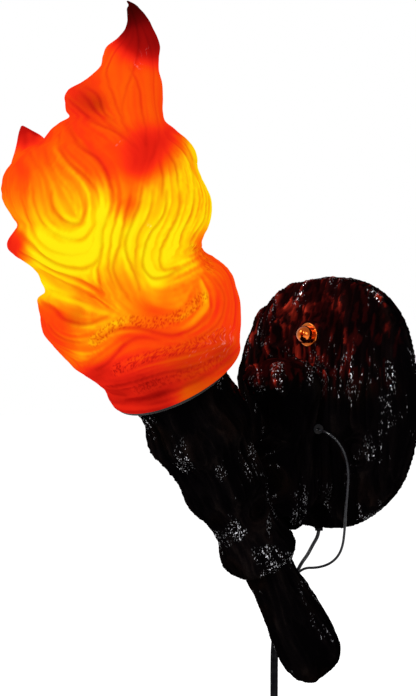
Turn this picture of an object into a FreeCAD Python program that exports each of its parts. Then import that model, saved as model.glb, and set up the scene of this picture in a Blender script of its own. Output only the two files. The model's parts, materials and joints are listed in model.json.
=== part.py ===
"""Torch sconce: a carved-bark wall plate and torch under a lift-off flame shade.

Millimetres, +Z up. The wall is the plane y = 0 and the room lies on its -Y side.
The origin is on the wall, midway between the two outlet-box screws.
The torch leans out of the wall: "q" below counts millimetres down its axis from the
plane of its top, and torch-local +Z points up that axis, local +Y towards the wall.
"""
import FreeCAD
import Part
import math
import os

from FreeCAD import Placement, Rotation, Vector

X, Y, Z = Vector(1, 0, 0), Vector(0, 1, 0), Vector(0, 0, 1)

# ---- wall box and mounting strap -------------------------------------------------
BOX_SCREW_SPACING = 88.9
BOX_SCREW_HOLE_R = 2.4
BOX_SCREW_SLOT = 6.0
STRAP_THICKNESS = 2.0
STRAP_HALF_WIDTH = 10.0
STRAP_TOP = 72.0
STRAP_CENTRE_HOLE_R = 5.0
FORK_TOP = -58.0
FORK_BOTTOM = -86.0
PRONG_WIDTH = 8.0
PRONG_CENTRE = 17.0
PRONG_STAND_OFF = 9.0
GROUND_SCREW_Z = 22.0
GROUND_SCREW_R = 2.1
GROUND_HEAD_R = 4.2
GROUND_HEAD_HEIGHT = 2.6

# ---- wall plate ------------------------------------------------------------------
PLATE_HALF_WIDTH = 98.0
PLATE_HALF_HEIGHT = 107.0
PLATE_SQUARENESS = 2.4
PLATE_RIM_DEPTH = 11.0
PLATE_BEVEL = 3.0
PLATE_CROWN = 31.0
PLATE_WALL = 5.0
FURROW_SPACING = 14.0
FURROW_DEPTH = 1.3
FURROW_R = 5.0
LIP_THICKNESS = 3.0
LIP_HEIGHT = 12.0
LIP_HALF_WIDTH = 5.0
HOOK_GAP = 0.4

# ---- plate nut -------------------------------------------------------------------
STUD_R = 3.0
STUD_Z = 58.0
NUT_SEAT = 28.5
NUT_PAD_R = 12.0
NUT_RING_R = 10.0
NUT_RING_THICKNESS = 2.2
NUT_R = 7.4
NUT_COLLAR = 3.0
LOCK_NUT_FLATS = 10.0
LOCK_NUT_HEIGHT = 4.0

# ---- arm between plate and torch -------------------------------------------------
ARM_SEAT = 34.0
PAD_HALF_WIDTH = 25.0
PAD_TOP = 34.0
PAD_BOTTOM = -84.0
INNER_BLOCK_HALF_WIDTH = 12.0
INNER_SEAT = 24.0
BOLT_R = 3.0
BOLT_HEAD_R = 5.0
BOLT_HEAD_HEIGHT = 4.5
BOLT_TOP_Z = -47.0
BOLT_BOTTOM_Z = -75.0
BOLT_WASHER_R = 6.5
BOLT_WASHER_THICKNESS = 1.2
INSERT_R = 4.5
INSERT_LENGTH = 10.0
INSERT_SETBACK = 3.4
TOP_SCREW_Z = 15.0
TOP_SCREW_R = 2.5
TOP_SCREW_LENGTH = 30.0
TOP_SCREW_HEAD_R = 4.5
WIRE_WAY_R = 4.5
WIRE_WAY_Z = -61.0

# ---- torch -----------------------------------------------------------------------
TORCH_LEAN = 34.0
TORCH_TOP_Y = -186.8
TORCH_TOP_Z = 25.0
ARM_LAND = 20.0
LAND_TOP_Q = 80.0
LAND_BOTTOM_Q = 160.0
LIP_CLEAR_R = 34.5
KNOT_CLEAR_R = 40.0
CUP_R = 31.0
CUP_DEPTH = 60.0
AXIS_WAY_R = 6.5
AXIS_WAY_END = 112.0
TORCH_END = 181.0
HANDLE_START = 171.0
HANDLE_R = 21.5
HANDLE_END = 298.0
HANDLE_SOCKET_GAP = 0.3
SPIGOT_R = 14.0
SPIGOT_LENGTH = 25.0
HANDLE_SCREW_R = 2.5
HANDLE_SCREW_Q = 160.0
HANDLE_SCREW_REACH = 12.0

# ---- lamp holder and bulb --------------------------------------------------------
PAN_R = 50.0
PAN_THICKNESS = 2.0
PAN_RING_R = 46.0
PAN_RING_WALL = 1.5
PAN_RING_HEIGHT = 12.0
PAN_SCREW_R = 1.6
PAN_SCREW_LENGTH = 10.0
PAN_SCREW_HEAD_R = 3.2
PAN_SCREW_CIRCLE_R = 36.0
SOCKET_R = 19.0
SOCKET_DEPTH = 46.0
SOCKET_FLANGE_R = 24.0
SOCKET_FLANGE = 3.0
SOCKET_RING_HEIGHT = 6.0
SHELL_R = 14.2
SHELL_WALL = 1.1
SHELL_DEPTH = 26.0
CAP_R = 13.0
CAP_TOP = 5.0
BULB_R = 30.0
BULB_NECK_R = 13.5
BULB_TOP = 86.0
BULB_GLASS = 0.9
STEM_R = 2.0
FILAMENT_R = 1.0
FILAMENT_SPREAD = 12.0

# ---- flame shade -----------------------------------------------------------------
SHADE_RIM_R = 54.0
SHADE_WALL = 6.0
SHADE_BASE_GAP = 0.3
SHADE_RING_GAP = 1.5
GASKET_THICKNESS = 1.5
FLAME_STRANDS = 5
FLAME_POINTS = 20

# ---- wires and cord --------------------------------------------------------------
LEAD_R = 1.1
FRONT_WIRE_R = 1.1
REAR_WIRE_R = 1.6
CORD_R = 3.3
SPLICE_R = 2.6
SPLICE_LENGTH = 10.0
SLEEVE_R = 5.2
SLEEVE_LENGTH = 26.0
FLANK_WAY_R = 2.6
RIM_WAY_R = 3.4
GROMMET_WALL = 1.5
GROMMET_FLANGE = 1.5
COIL_TURNS_PER_LAYER = 2.75
COIL_PITCH = 7.5
COIL_MEAN_R = 38.5
COIL_TOP_Z = -258.0
TIE_THICKNESS = 1.2
TIE_WIDTH = 12.0
PLUG_LENGTH = 26.0
PLUG_HALF_WIDTH = 12.5
PLUG_HALF_DEPTH = 8.0
BLADE_SPACING = 12.7
BLADE_LENGTH = 17.0
BLADE_WIDTH = 6.3
BLADE_THICKNESS = 1.5

CLEARANCE = 0.05
PASS_CLEARANCE = 0.3

TORCH = Placement(Vector(0, TORCH_TOP_Y, TORCH_TOP_Z), Rotation(X, TORCH_LEAN))
TO_WALL = TORCH.Rotation.multVec(Y)

CAP_TIP_Z = -21.5
SOCKET_LEAD_SPREAD = 1.6
SOCKET_LEAD_DEPTH = 6.0
LEAD_STACK = 1.3
LEAD_BEND_R = 7.0

# The front wire's straight way through plate and arm, aimed down and out of the arm's flank.
FLANK_OUTWARD = Vector(1, -1, 0).normalize()
FLANK_EXIT = Vector(22.5, -42.5, -20.0)
FLANK_INNER = FLANK_EXIT - FLANK_OUTWARD * 34
FLANK_SEAT = FLANK_EXIT - FLANK_OUTWARD * 7
RIM_WAY_X = -8.0
RIM_WAY_Y = -7.0
SPLICE_X = -9.0
SPLICE_Y = -11.0
FRONT_SPLICE_TOP = -34.5
REAR_SPLICE_TOP = -75.5

# The joining sleeve behind the handle: its top, its direction and how its two wires sit.
SLEEVE_TOP = Vector(-22.0, -26.1, -150.0)
SLEEVE_DOWN = Vector(-0.42, 0.06, -0.905).normalize()
SLEEVE_WIRE_SPREAD = 2.0


# ---- small helpers ---------------------------------------------------------------
def in_torch(shape):
    """Move a shape drawn in torch-local axes to its place on the leaning torch."""
    placed = shape.copy()
    placed.Placement = TORCH.multiply(placed.Placement)
    return placed


def rod(radius, start, end):
    """A round bar between two points."""
    return Part.makeCylinder(radius, (end - start).Length, start, end - start)


def tube(outer_r, inner_r, start, end):
    return rod(outer_r, start, end).cut(rod(inner_r, start, end))


def box(x_range, y_range, z_range):
    corner = Vector(x_range[0], y_range[0], z_range[0])
    sizes = (x_range[1] - x_range[0], y_range[1] - y_range[0], z_range[1] - z_range[0])
    return Part.makeBox(*sizes, corner)


def closed_curve(points):
    """A smooth closed curve; even parameters let every ring of a loft share its knots."""
    curve = Part.BSplineCurve()
    even = [float(index) for index in range(len(points) + 1)]
    curve.interpolate(Points=points, PeriodicFlag=True, Parameters=even)
    return Part.Wire(curve.toShape())


def outline(radius_at, centre, side, up, count=24):
    """A closed curve round centre, its radius a function of the angle from side to up."""
    points = []
    for step in range(count):
        angle = 2 * math.pi * step / count
        radius = radius_at(angle)
        points.append(centre + side * (radius * math.cos(angle)) + up * (radius * math.sin(angle)))
    return closed_curve(points)


def loft(wires, ruled=False):
    return Part.makeLoft(wires, True, ruled, False)


def fused(shapes):
    return shapes[0].multiFuse(shapes[1:]).removeSplitter()


def revolved(points, axis_start=Vector(0, 0, 0), axis=Z):
    """A turned piece from a closed outline of straight sides."""
    face = Part.Face(Part.makePolygon(points + [points[0]]))
    return face.revolve(axis_start, axis, 360)


def hexagon_prism(flats, height, centre, axis):
    radius = flats / math.sqrt(3)
    side = Z.cross(axis)
    other = axis.cross(side)
    corners = []
    for step in range(6):
        angle = math.pi * step / 3
        corners.append(centre + side * (radius * math.cos(angle)) + other * (radius * math.sin(angle)))
    return Part.Face(Part.makePolygon(corners + [corners[0]])).extrude(axis * height)


def torch_axis_y(z):
    """Where the torch's axis is at a height."""
    return TORCH_TOP_Y + (TORCH_TOP_Z - z) * math.tan(math.radians(TORCH_LEAN))


def land_y(z):
    """Where the flat land for the arm is at a height."""
    return torch_axis_y(z) + ARM_LAND / math.cos(math.radians(TORCH_LEAN))


# ---- wall plate ------------------------------------------------------------------
def plate_outline(half_width, half_height, y):
    def radius_at(angle):
        across = abs(math.cos(angle) / half_width) ** PLATE_SQUARENESS
        along = abs(math.sin(angle) / half_height) ** PLATE_SQUARENESS
        return (across + along) ** (-1 / PLATE_SQUARENESS)
    return outline(radius_at, Vector(0, y, 0), X, Z, 32)


def plate_face_y(share, rim_depth, crown):
    """How far the domed face stands out at a share of the way to the rim."""
    return -rim_depth - (crown - rim_depth) * (1 - share ** 2) ** 0.9


def domed_solid(half_width, half_height, rim_depth, bevel, crown):
    """The plate's outer form, or its hollow: a straight rim, a bevel and a dome."""
    edge = 1 - bevel / half_width
    start = rim_depth + bevel
    rim = loft([plate_outline(half_width, half_height, 0),
                plate_outline(half_width, half_height, -rim_depth)], ruled=True)
    bevelled = loft([plate_outline(half_width, half_height, -rim_depth),
                     plate_outline(half_width * edge, half_height * edge, -start)], ruled=True)
    rings = []
    for share in (1.0, 0.9, 0.72, 0.5, 0.28, 0.1):
        y = plate_face_y(share, start, crown)
        rings.append(plate_outline(half_width * edge * share, half_height * edge * share, y))
    return rim.fuse([bevelled, loft(rings)]).removeSplitter().Solids[0]


def furrow(x):
    """A shallow upright groove whose depth stays even over the dome."""
    reach = PLATE_HALF_HEIGHT * (1 - abs(x / PLATE_HALF_WIDTH) ** PLATE_SQUARENESS) ** (1 / PLATE_SQUARENESS)
    points = []
    for share in (-1.0, -0.86, -0.6, -0.3, 0, 0.3, 0.6, 0.86, 1.0):
        z = share * reach
        ring = (abs(x / PLATE_HALF_WIDTH) ** PLATE_SQUARENESS
                + abs(z / PLATE_HALF_HEIGHT) ** PLATE_SQUARENESS) ** (1 / PLATE_SQUARENESS)
        y = plate_face_y(min(ring, 1.0), PLATE_RIM_DEPTH + PLATE_BEVEL, PLATE_CROWN)
        points.append(Vector(x, y - FURROW_R + FURROW_DEPTH, z))
    path = Part.BSplineCurve()
    path.interpolate(points)
    start = points[0]
    circle = Part.Wire(Part.makeCircle(FURROW_R, start, path.tangent(path.FirstParameter)[0]))
    return Part.Wire(path.toShape()).makePipeShell([circle], True, False)


def lip_block(side):
    """The moulded hook behind one prong of the strap, on one side of the plate."""
    near = side * PRONG_CENTRE - LIP_HALF_WIDTH
    far = side * PRONG_CENTRE + LIP_HALF_WIDTH
    lip_front = PRONG_STAND_OFF - HOOK_GAP
    lip_back = lip_front - LIP_THICKNESS
    foot_top = FORK_BOTTOM - 2 * HOOK_GAP
    inner_rim = PLATE_HALF_HEIGHT - PLATE_WALL / 2
    foot = box((near, far), (-PLATE_RIM_DEPTH - PLATE_WALL, -lip_back), (-inner_rim, foot_top))
    lip = box((near, far), (-lip_front, -lip_back), (foot_top - PLATE_WALL, foot_top + LIP_HEIGHT))
    return foot.fuse(lip)


def make_back_plate():
    shell = domed_solid(PLATE_HALF_WIDTH, PLATE_HALF_HEIGHT, PLATE_RIM_DEPTH, PLATE_BEVEL, PLATE_CROWN)
    hollow = domed_solid(PLATE_HALF_WIDTH - PLATE_WALL, PLATE_HALF_HEIGHT - PLATE_WALL,
                         PLATE_RIM_DEPTH - PLATE_BEVEL, PLATE_BEVEL, PLATE_CROWN - PLATE_WALL)
    furrows = []
    for index in (-6, -5, -4, -3, -2, 2, 3, 4, 5, 6):
        furrows.append(furrow(index * FURROW_SPACING))
    plate = shell.cut(furrows).cut(hollow)
    pad = box((-PAD_HALF_WIDTH, PAD_HALF_WIDTH), (-ARM_SEAT, -INNER_SEAT), (PAD_BOTTOM, PAD_TOP))
    upright = [edge for edge in pad.Edges if abs(edge.tangentAt(edge.FirstParameter).y) > 0.9]
    pad = pad.makeFillet(PAD_HALF_WIDTH * 0.6, upright)
    block_bottom = BOLT_BOTTOM_Z - BOLT_WASHER_R - PASS_CLEARANCE
    inner_block = box((-INNER_BLOCK_HALF_WIDTH, INNER_BLOCK_HALF_WIDTH), (-ARM_SEAT + 1, -INNER_SEAT),
                      (block_bottom, PAD_TOP - 4))
    inner_block = inner_block.common(shell)
    nut_pad = rod(NUT_PAD_R, Vector(0, -NUT_SEAT, STUD_Z), Vector(0, -PLATE_CROWN + 2 * PLATE_WALL, STUD_Z))
    lips = [lip_block(side).common(shell) for side in (-1, 1)]
    for solid in [pad, inner_block, nut_pad] + lips:
        plate = plate.fuse(solid)
    for z in (BOLT_TOP_Z, BOLT_BOTTOM_Z):
        plate = plate.cut(rod(BOLT_R + PASS_CLEARANCE, Vector(0, 0, z), Vector(0, -ARM_SEAT - 5, z)))
        plate = plate.cut(rod(BOLT_WASHER_R + PASS_CLEARANCE, Vector(0, 0, z), Vector(0, -INNER_SEAT, z)))
    plate = plate.cut(rod(TOP_SCREW_R + PASS_CLEARANCE, Vector(0, 0, TOP_SCREW_Z),
                          Vector(0, -ARM_SEAT - 5, TOP_SCREW_Z)))
    plate = plate.cut(rod(WIRE_WAY_R, Vector(0, 0, WIRE_WAY_Z), Vector(0, -ARM_SEAT - 5, WIRE_WAY_Z)))
    plate = plate.cut(rod(STUD_R + PASS_CLEARANCE, Vector(0, 0, STUD_Z), Vector(0, -NUT_SEAT - 5, STUD_Z)))
    plate = plate.cut(rod(FLANK_WAY_R, FLANK_EXIT, FLANK_INNER))
    return plate.cut(rod(RIM_WAY_R, Vector(RIM_WAY_X, RIM_WAY_Y, -PLATE_HALF_HEIGHT - 5),
                         Vector(RIM_WAY_X, RIM_WAY_Y, -PLATE_HALF_HEIGHT + 3 * PLATE_WALL)))


# ---- mounting strap --------------------------------------------------------------
def slot_cutter(z):
    """An upright slot for a box screw."""
    half = BOX_SCREW_SLOT / 2
    deep = 3 * STRAP_THICKNESS
    ends = [rod(BOX_SCREW_HOLE_R, Vector(0, STRAP_THICKNESS, z + side * half),
                Vector(0, STRAP_THICKNESS - deep, z + side * half)) for side in (-1, 1)]
    middle = box((-BOX_SCREW_HOLE_R, BOX_SCREW_HOLE_R), (STRAP_THICKNESS - deep, STRAP_THICKNESS),
                 (z - half, z + half))
    return fused(ends + [middle])


def prong(side):
    """One leg of the fork: a jog off the wall, then a tongue that goes behind the plate's lip."""
    near = side * PRONG_CENTRE - PRONG_WIDTH / 2
    back = PRONG_STAND_OFF
    front = PRONG_STAND_OFF + STRAP_THICKNESS
    jog_z = FORK_TOP - front
    profile = [Vector(near, 0, FORK_TOP), Vector(near, -STRAP_THICKNESS, FORK_TOP),
               Vector(near, -front, jog_z), Vector(near, -front, FORK_BOTTOM),
               Vector(near, -back, FORK_BOTTOM), Vector(near, -back, jog_z - STRAP_THICKNESS / 2),
               Vector(near, 0, FORK_TOP - STRAP_THICKNESS)]
    return Part.Face(Part.makePolygon(profile + [profile[0]])).extrude(X * PRONG_WIDTH)


def make_mounting_strap():
    bar = box((-STRAP_HALF_WIDTH, STRAP_HALF_WIDTH), (-STRAP_THICKNESS, 0), (FORK_TOP, STRAP_TOP))
    bridge_half = PRONG_CENTRE + PRONG_WIDTH / 2
    bridge = box((-bridge_half, bridge_half), (-STRAP_THICKNESS, 0), (FORK_TOP, FORK_TOP + 8))
    strap = fused([bar, bridge, prong(-1), prong(1)])
    for z in (-BOX_SCREW_SPACING / 2, BOX_SCREW_SPACING / 2):
        strap = strap.cut(slot_cutter(z))
    ground_hole = (GROUND_SCREW_R + CLEARANCE, GROUND_SCREW_Z)
    holes = ((STRAP_CENTRE_HOLE_R, 0), (STUD_R + CLEARANCE, STUD_Z), ground_hole)
    for radius, z in holes:
        strap = strap.cut(rod(radius, Vector(0, 1, z), Vector(0, -2 * STRAP_THICKNESS, z)))
    return strap


def make_ground_screw():
    head_back = -STRAP_THICKNESS
    shank = rod(GROUND_SCREW_R, Vector(0, 0, GROUND_SCREW_Z), Vector(0, head_back - 1, GROUND_SCREW_Z))
    head = rod(GROUND_HEAD_R, Vector(0, head_back, GROUND_SCREW_Z),
               Vector(0, head_back - GROUND_HEAD_HEIGHT, GROUND_SCREW_Z))
    slot = box((-GROUND_HEAD_R, GROUND_HEAD_R), (head_back - 2 * GROUND_HEAD_HEIGHT, head_back - 1.4),
               (GROUND_SCREW_Z - 0.5, GROUND_SCREW_Z + 0.5))
    return shank.fuse(head).cut(slot)


# ---- plate nut -------------------------------------------------------------------
def make_strap_stud():
    front = NUT_SEAT + NUT_RING_THICKNESS + NUT_COLLAR
    return rod(STUD_R, Vector(0, 0, STUD_Z), Vector(0, -front, STUD_Z))


def make_stud_lock_nut():
    start = Vector(0, -STRAP_THICKNESS, STUD_Z)
    nut = hexagon_prism(LOCK_NUT_FLATS, LOCK_NUT_HEIGHT, start, -Y)
    return nut.cut(rod(STUD_R + CLEARANCE, start, start - Y * LOCK_NUT_HEIGHT))


def make_nut_ring():
    """The turned ring under the nut, with a rolled outer edge."""
    back = Vector(0, -NUT_SEAT, STUD_Z)
    ring = rod(NUT_RING_R, back, back - Y * NUT_RING_THICKNESS)
    ring = ring.makeFillet(NUT_RING_THICKNESS * 0.45, [ring.Edges[0], ring.Edges[2]])
    return ring.cut(rod(STUD_R + PASS_CLEARANCE, back, back - Y * NUT_RING_THICKNESS))


def make_dome_nut():
    """A round nut with a domed face, drilled blind for the stud."""
    seat = Vector(0, -NUT_SEAT - NUT_RING_THICKNESS - CLEARANCE, STUD_Z)
    collar = rod(NUT_R, seat, seat - Y * NUT_COLLAR)
    dome = Part.makeSphere(NUT_R, seat - Y * NUT_COLLAR)
    front_half = box((-2 * NUT_R, 2 * NUT_R), (seat.y - NUT_COLLAR - 2 * NUT_R, seat.y - NUT_COLLAR),
                     (STUD_Z - 2 * NUT_R, STUD_Z + 2 * NUT_R))
    nut = fused([collar, dome.common(front_half)])
    return nut.cut(rod(STUD_R + CLEARANCE, seat, seat - Y * (NUT_COLLAR + 0.6)))


# ---- arm -------------------------------------------------------------------------
def ellipse_outline(half_x, half_y, centre, lobe=0.0, lobes=4, turn=0.0, count=16):
    def radius_at(angle):
        plain = half_x * half_y / math.hypot(half_y * math.cos(angle), half_x * math.sin(angle))
        return plain * (1 + lobe * math.cos(lobes * (angle - turn)))
    return outline(radius_at, centre, X, Y, count)


def make_arm():
    """An upright stub of branch: a round crown, a waist and a foot that meets the torch."""
    rings = ((39.0, -60, 9, 9), (34.5, -60, 22, 23), (23, -58.5, 28.5, 32), (8, -56.5, 28, 33),
             (-8, -53, 24, 24), (-19, -51.5, 22.5, 21.5), (-30, -57, 23, 31), (-43, -68, 25, 49),
             (-60, -68, 25, 49), (-78, -66, 24, 36), (-94, -62, 18, 22), (-104, -63, 8, 10))
    wires = []
    for index, (z, centre_y, half_x, half_y) in enumerate(rings):
        wires.append(ellipse_outline(half_x, half_y, Vector(0, centre_y, z), 0.035, 5, index * 0.12))
    arm = loft(wires)
    arm = arm.cut(box((-90, 90), (-ARM_SEAT, 90), (-200, 200)))
    beyond_land = box((-90, 90), (-200, ARM_LAND), (-400, 200))
    arm = arm.cut(in_torch(beyond_land))
    arm = arm.cut(in_torch(rod(LIP_CLEAR_R, Vector(0, 0, -LAND_BOTTOM_Q), Vector(0, 0, -TORCH_END - 9))))
    arm = arm.cut(in_torch(rod(KNOT_CLEAR_R, Vector(0, 0, -LAND_TOP_Q), Vector(0, 0, -AXIS_WAY_R))))
    for z in (BOLT_TOP_Z, BOLT_BOTTOM_Z):
        arm = arm.cut(rod(BOLT_R + PASS_CLEARANCE, Vector(0, 0, z), Vector(0, land_y(z) - 20, z)))
    arm = arm.cut(rod(TOP_SCREW_R + CLEARANCE, Vector(0, -ARM_SEAT + 1, TOP_SCREW_Z),
                      Vector(0, -INNER_SEAT - TOP_SCREW_LENGTH - 1, TOP_SCREW_Z)))
    arm = arm.cut(rod(WIRE_WAY_R, Vector(0, 0, WIRE_WAY_Z), Vector(0, land_y(WIRE_WAY_Z) - 20, WIRE_WAY_Z)))
    arm = arm.cut(rod(FLANK_WAY_R, FLANK_EXIT + FLANK_OUTWARD * 20, FLANK_INNER))
    return arm.cut(rod(FLANK_WAY_R + GROMMET_WALL, FLANK_SEAT, FLANK_SEAT + FLANK_OUTWARD * 30))


def make_arm_bolts():
    """Two long bolts from the plate's hollow through the arm into the torch."""
    bolts = []
    for z in (BOLT_TOP_Z, BOLT_BOTTOM_Z):
        under_head = -INNER_SEAT + BOLT_WASHER_THICKNESS
        tip = land_y(z) - INSERT_SETBACK - INSERT_LENGTH + 1
        shank = rod(BOLT_R, Vector(0, under_head, z), Vector(0, tip, z))
        head = rod(BOLT_HEAD_R, Vector(0, under_head, z), Vector(0, under_head + BOLT_HEAD_HEIGHT, z))
        key = hexagon_prism(5.0, BOLT_HEAD_HEIGHT * 0.6, Vector(0, under_head + BOLT_HEAD_HEIGHT, z), -Y)
        bolts.append(shank.fuse(head).cut(key))
    return Part.makeCompound(bolts)


def make_arm_washers():
    washers = []
    for z in (BOLT_TOP_Z, BOLT_BOTTOM_Z):
        start = Vector(0, -INNER_SEAT, z)
        washers.append(tube(BOLT_WASHER_R, BOLT_R + CLEARANCE, start, start + Y * BOLT_WASHER_THICKNESS))
    return Part.makeCompound(washers)


def insert_span(z):
    start = Vector(0, land_y(z) - INSERT_SETBACK, z)
    return start, start - Y * INSERT_LENGTH


def make_arm_inserts():
    """Brass threaded inserts moulded into the torch behind its flat land."""
    inserts = []
    for z in (BOLT_TOP_Z, BOLT_BOTTOM_Z):
        start, end = insert_span(z)
        inserts.append(tube(INSERT_R, BOLT_R + CLEARANCE, start, end))
    return Part.makeCompound(inserts)


def make_arm_top_screw():
    seat = Vector(0, -INNER_SEAT, TOP_SCREW_Z)
    shank = rod(TOP_SCREW_R, seat, seat - Y * TOP_SCREW_LENGTH)
    head = rod(TOP_SCREW_HEAD_R, seat, seat + Y * 3)
    slot_z = (TOP_SCREW_Z - 0.5, TOP_SCREW_Z + 0.5)
    slot = box((-TOP_SCREW_HEAD_R, TOP_SCREW_HEAD_R), (seat.y + 1.6, seat.y + 4), slot_z)
    return shank.fuse(head).cut(slot)


# ---- torch and handle ------------------------------------------------------------
def torch_outline(q, radius, lobe, lobes, turn, shift=0.0):
    """A barky round section of the torch at a distance down its axis."""
    def radius_at(angle):
        main = lobe * math.cos(lobes * (angle - turn))
        return radius * (1 + main + 0.4 * lobe * math.cos((lobes + 2) * angle + 3 * turn))
    return outline(radius_at, Vector(shift, shift, -q), X, Y, 20)


def make_torch_body():
    """The carved head: a flared cup, a knotted middle and a swollen lower lip."""
    rings = ((PAN_THICKNESS, 46), (10, 41.5), (24, 37), (36, 39), (50, 42), (63, 38), (77, 34.5),
             (100, 35), (120, 31), (140, 27), (154, 28), (167, 32), (TORCH_END, 27.5))
    wires = []
    for index, (q, radius) in enumerate(rings):
        wires.append(torch_outline(q, radius, 0.035, 4, index * 0.16))
    torch = loft(wires)
    torch = torch.cut(rod(CUP_R, Vector(0, 0, 0), Vector(0, 0, -CUP_DEPTH)))
    torch = torch.cut(rod(AXIS_WAY_R, Vector(0, 0, 0), Vector(0, 0, -AXIS_WAY_END)))
    handle_end = Vector(0, 0, -TORCH_END - 9)
    torch = torch.cut(rod(HANDLE_R + HANDLE_SOCKET_GAP, Vector(0, 0, -HANDLE_START), handle_end))
    spigot_top = HANDLE_START - SPIGOT_LENGTH - HANDLE_SOCKET_GAP
    torch = torch.cut(rod(SPIGOT_R + CLEARANCE, Vector(0, 0, -spigot_top), Vector(0, 0, -TORCH_END)))
    for place in pan_screw_places():
        hole = rod(PAN_SCREW_R, place, place - Z * (PAN_SCREW_LENGTH + PAN_THICKNESS))
        torch = torch.cut(hole)
    screw_start = Vector(-60, 0, -HANDLE_SCREW_Q)
    screw_way = rod(HANDLE_SCREW_R + CLEARANCE, screw_start, Vector(0, 0, -HANDLE_SCREW_Q))
    torch = torch.cut(screw_way)
    land = box((-60, 60), (ARM_LAND, 90), (-LAND_BOTTOM_Q, -LAND_TOP_Q))
    torch = in_torch(torch.cut(land))
    for z in (BOLT_TOP_Z, BOLT_BOTTOM_Z):
        start, end = insert_span(z)
        torch = torch.cut(rod(INSERT_R + CLEARANCE, start + Y * 20, end))
        torch = torch.cut(rod(BOLT_R + PASS_CLEARANCE, start, end - Y))
    way_start = Vector(0, land_y(WIRE_WAY_Z) + 20, WIRE_WAY_Z)
    return torch.cut(rod(WIRE_WAY_R, way_start, Vector(0, torch_axis_y(WIRE_WAY_Z), WIRE_WAY_Z)))


def make_handle():
    """The grip: a slim neck out of the lower lip, swelling to a rounded butt."""
    rings = ((HANDLE_START, HANDLE_R, 0), (HANDLE_START + 7, HANDLE_R, 0), (TORCH_END + 4, HANDLE_R, 0),
             (203, HANDLE_R - 0.5, 0.6), (224, HANDLE_R + 1, 1.4), (246, HANDLE_R + 4, 1.6),
             (266, HANDLE_R + 5, 1.2), (282, HANDLE_R + 2.5, 0.6), (292, HANDLE_R - 4, 0.3),
             (HANDLE_END, HANDLE_R - 13, 0))
    wires = []
    for index, (q, radius, shift) in enumerate(rings):
        lobe = 0.0 if q < TORCH_END + 5 else 0.03
        wires.append(torch_outline(q, radius, lobe, 4, 0.5 + index * 0.2, shift))
    spigot = rod(SPIGOT_R, Vector(0, 0, -HANDLE_START + SPIGOT_LENGTH), Vector(0, 0, -HANDLE_START - 4))
    handle = loft(wires).fuse(spigot).removeSplitter()
    hole = rod(HANDLE_SCREW_R + CLEARANCE, Vector(-60, 0, -HANDLE_SCREW_Q),
               Vector(HANDLE_SCREW_REACH - SPIGOT_R + 1, 0, -HANDLE_SCREW_Q))
    return in_torch(handle.cut(hole))


def make_handle_screw():
    """A grub screw from the hidden side of the lip into the handle's spigot."""
    tip = Vector(HANDLE_SCREW_REACH - SPIGOT_R, 0, -HANDLE_SCREW_Q)
    end = Vector(-SPIGOT_R - 10, 0, -HANDLE_SCREW_Q)
    key = hexagon_prism(2.5, 3, Vector(0, 0, 0), X)
    key.translate(end)
    return in_torch(rod(HANDLE_SCREW_R, end, tip).cut(key))


# ---- lamp holder -----------------------------------------------------------------
def pan_screw_places():
    places = []
    for index in range(3):
        angle = math.radians(30 + 120 * index)
        places.append(Vector(PAN_SCREW_CIRCLE_R * math.cos(angle), PAN_SCREW_CIRCLE_R * math.sin(angle), 0))
    return places


def make_gallery_pan():
    """A spun dish on the torch's top, with a standing ring that centres the shade."""
    hole = SOCKET_R + CLEARANCE
    inner = PAN_RING_R - PAN_RING_WALL
    profile = [Vector(hole, 0, -PAN_THICKNESS), Vector(PAN_R, 0, -PAN_THICKNESS), Vector(PAN_R, 0, 0),
               Vector(PAN_RING_R, 0, 0), Vector(PAN_RING_R, 0, PAN_RING_HEIGHT),
               Vector(inner, 0, PAN_RING_HEIGHT), Vector(inner, 0, 0), Vector(hole, 0, 0)]
    pan = revolved(profile)
    for place in pan_screw_places():
        pan = pan.cut(rod(PAN_SCREW_R + CLEARANCE, place + Z, place - Z * 2 * PAN_THICKNESS))
    return in_torch(pan)


def make_pan_screws():
    screws = []
    for place in pan_screw_places():
        shank = rod(PAN_SCREW_R - CLEARANCE, place, place - Z * (PAN_SCREW_LENGTH + PAN_THICKNESS - 1))
        head = rod(PAN_SCREW_HEAD_R, place, place + Z * 2)
        screws.append(in_torch(shank.fuse(head)))
    return Part.makeCompound(screws)


def make_socket_housing():
    """A moulded screw-lamp holder: a shouldered cup with two holes for the leads."""
    bore = SHELL_R + CLEARANCE
    floor = -SHELL_DEPTH
    profile = [Vector(0, 0, -SOCKET_DEPTH), Vector(SOCKET_R, 0, -SOCKET_DEPTH), Vector(SOCKET_R, 0, 0),
               Vector(SOCKET_FLANGE_R, 0, 0), Vector(SOCKET_FLANGE_R, 0, SOCKET_FLANGE),
               Vector(bore, 0, SOCKET_FLANGE), Vector(bore, 0, floor), Vector(0, 0, floor)]
    housing = revolved(profile)
    for side in (-1, 1):
        start = Vector(0, side * SOCKET_LEAD_SPREAD, -SOCKET_DEPTH - 1)
        housing = housing.cut(rod(LEAD_R + CLEARANCE, start, start + Z * (SOCKET_LEAD_DEPTH + 1)))
    return in_torch(housing)


def make_socket_ring():
    """The ring nut that clamps the holder's shoulder down on the pan."""
    top = Vector(0, 0, -PAN_THICKNESS)
    ring = tube(SOCKET_FLANGE_R, SOCKET_R + CLEARANCE, top, top - Z * SOCKET_RING_HEIGHT)
    return in_torch(ring)


def make_socket_shell():
    floor = -SHELL_DEPTH
    inner = SHELL_R - SHELL_WALL
    profile = [Vector(8, 0, floor), Vector(SHELL_R, 0, floor), Vector(SHELL_R, 0, SOCKET_FLANGE - 1),
               Vector(inner, 0, SOCKET_FLANGE - 1), Vector(inner, 0, floor + 1), Vector(8, 0, floor + 1)]
    return in_torch(revolved(profile))


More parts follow.
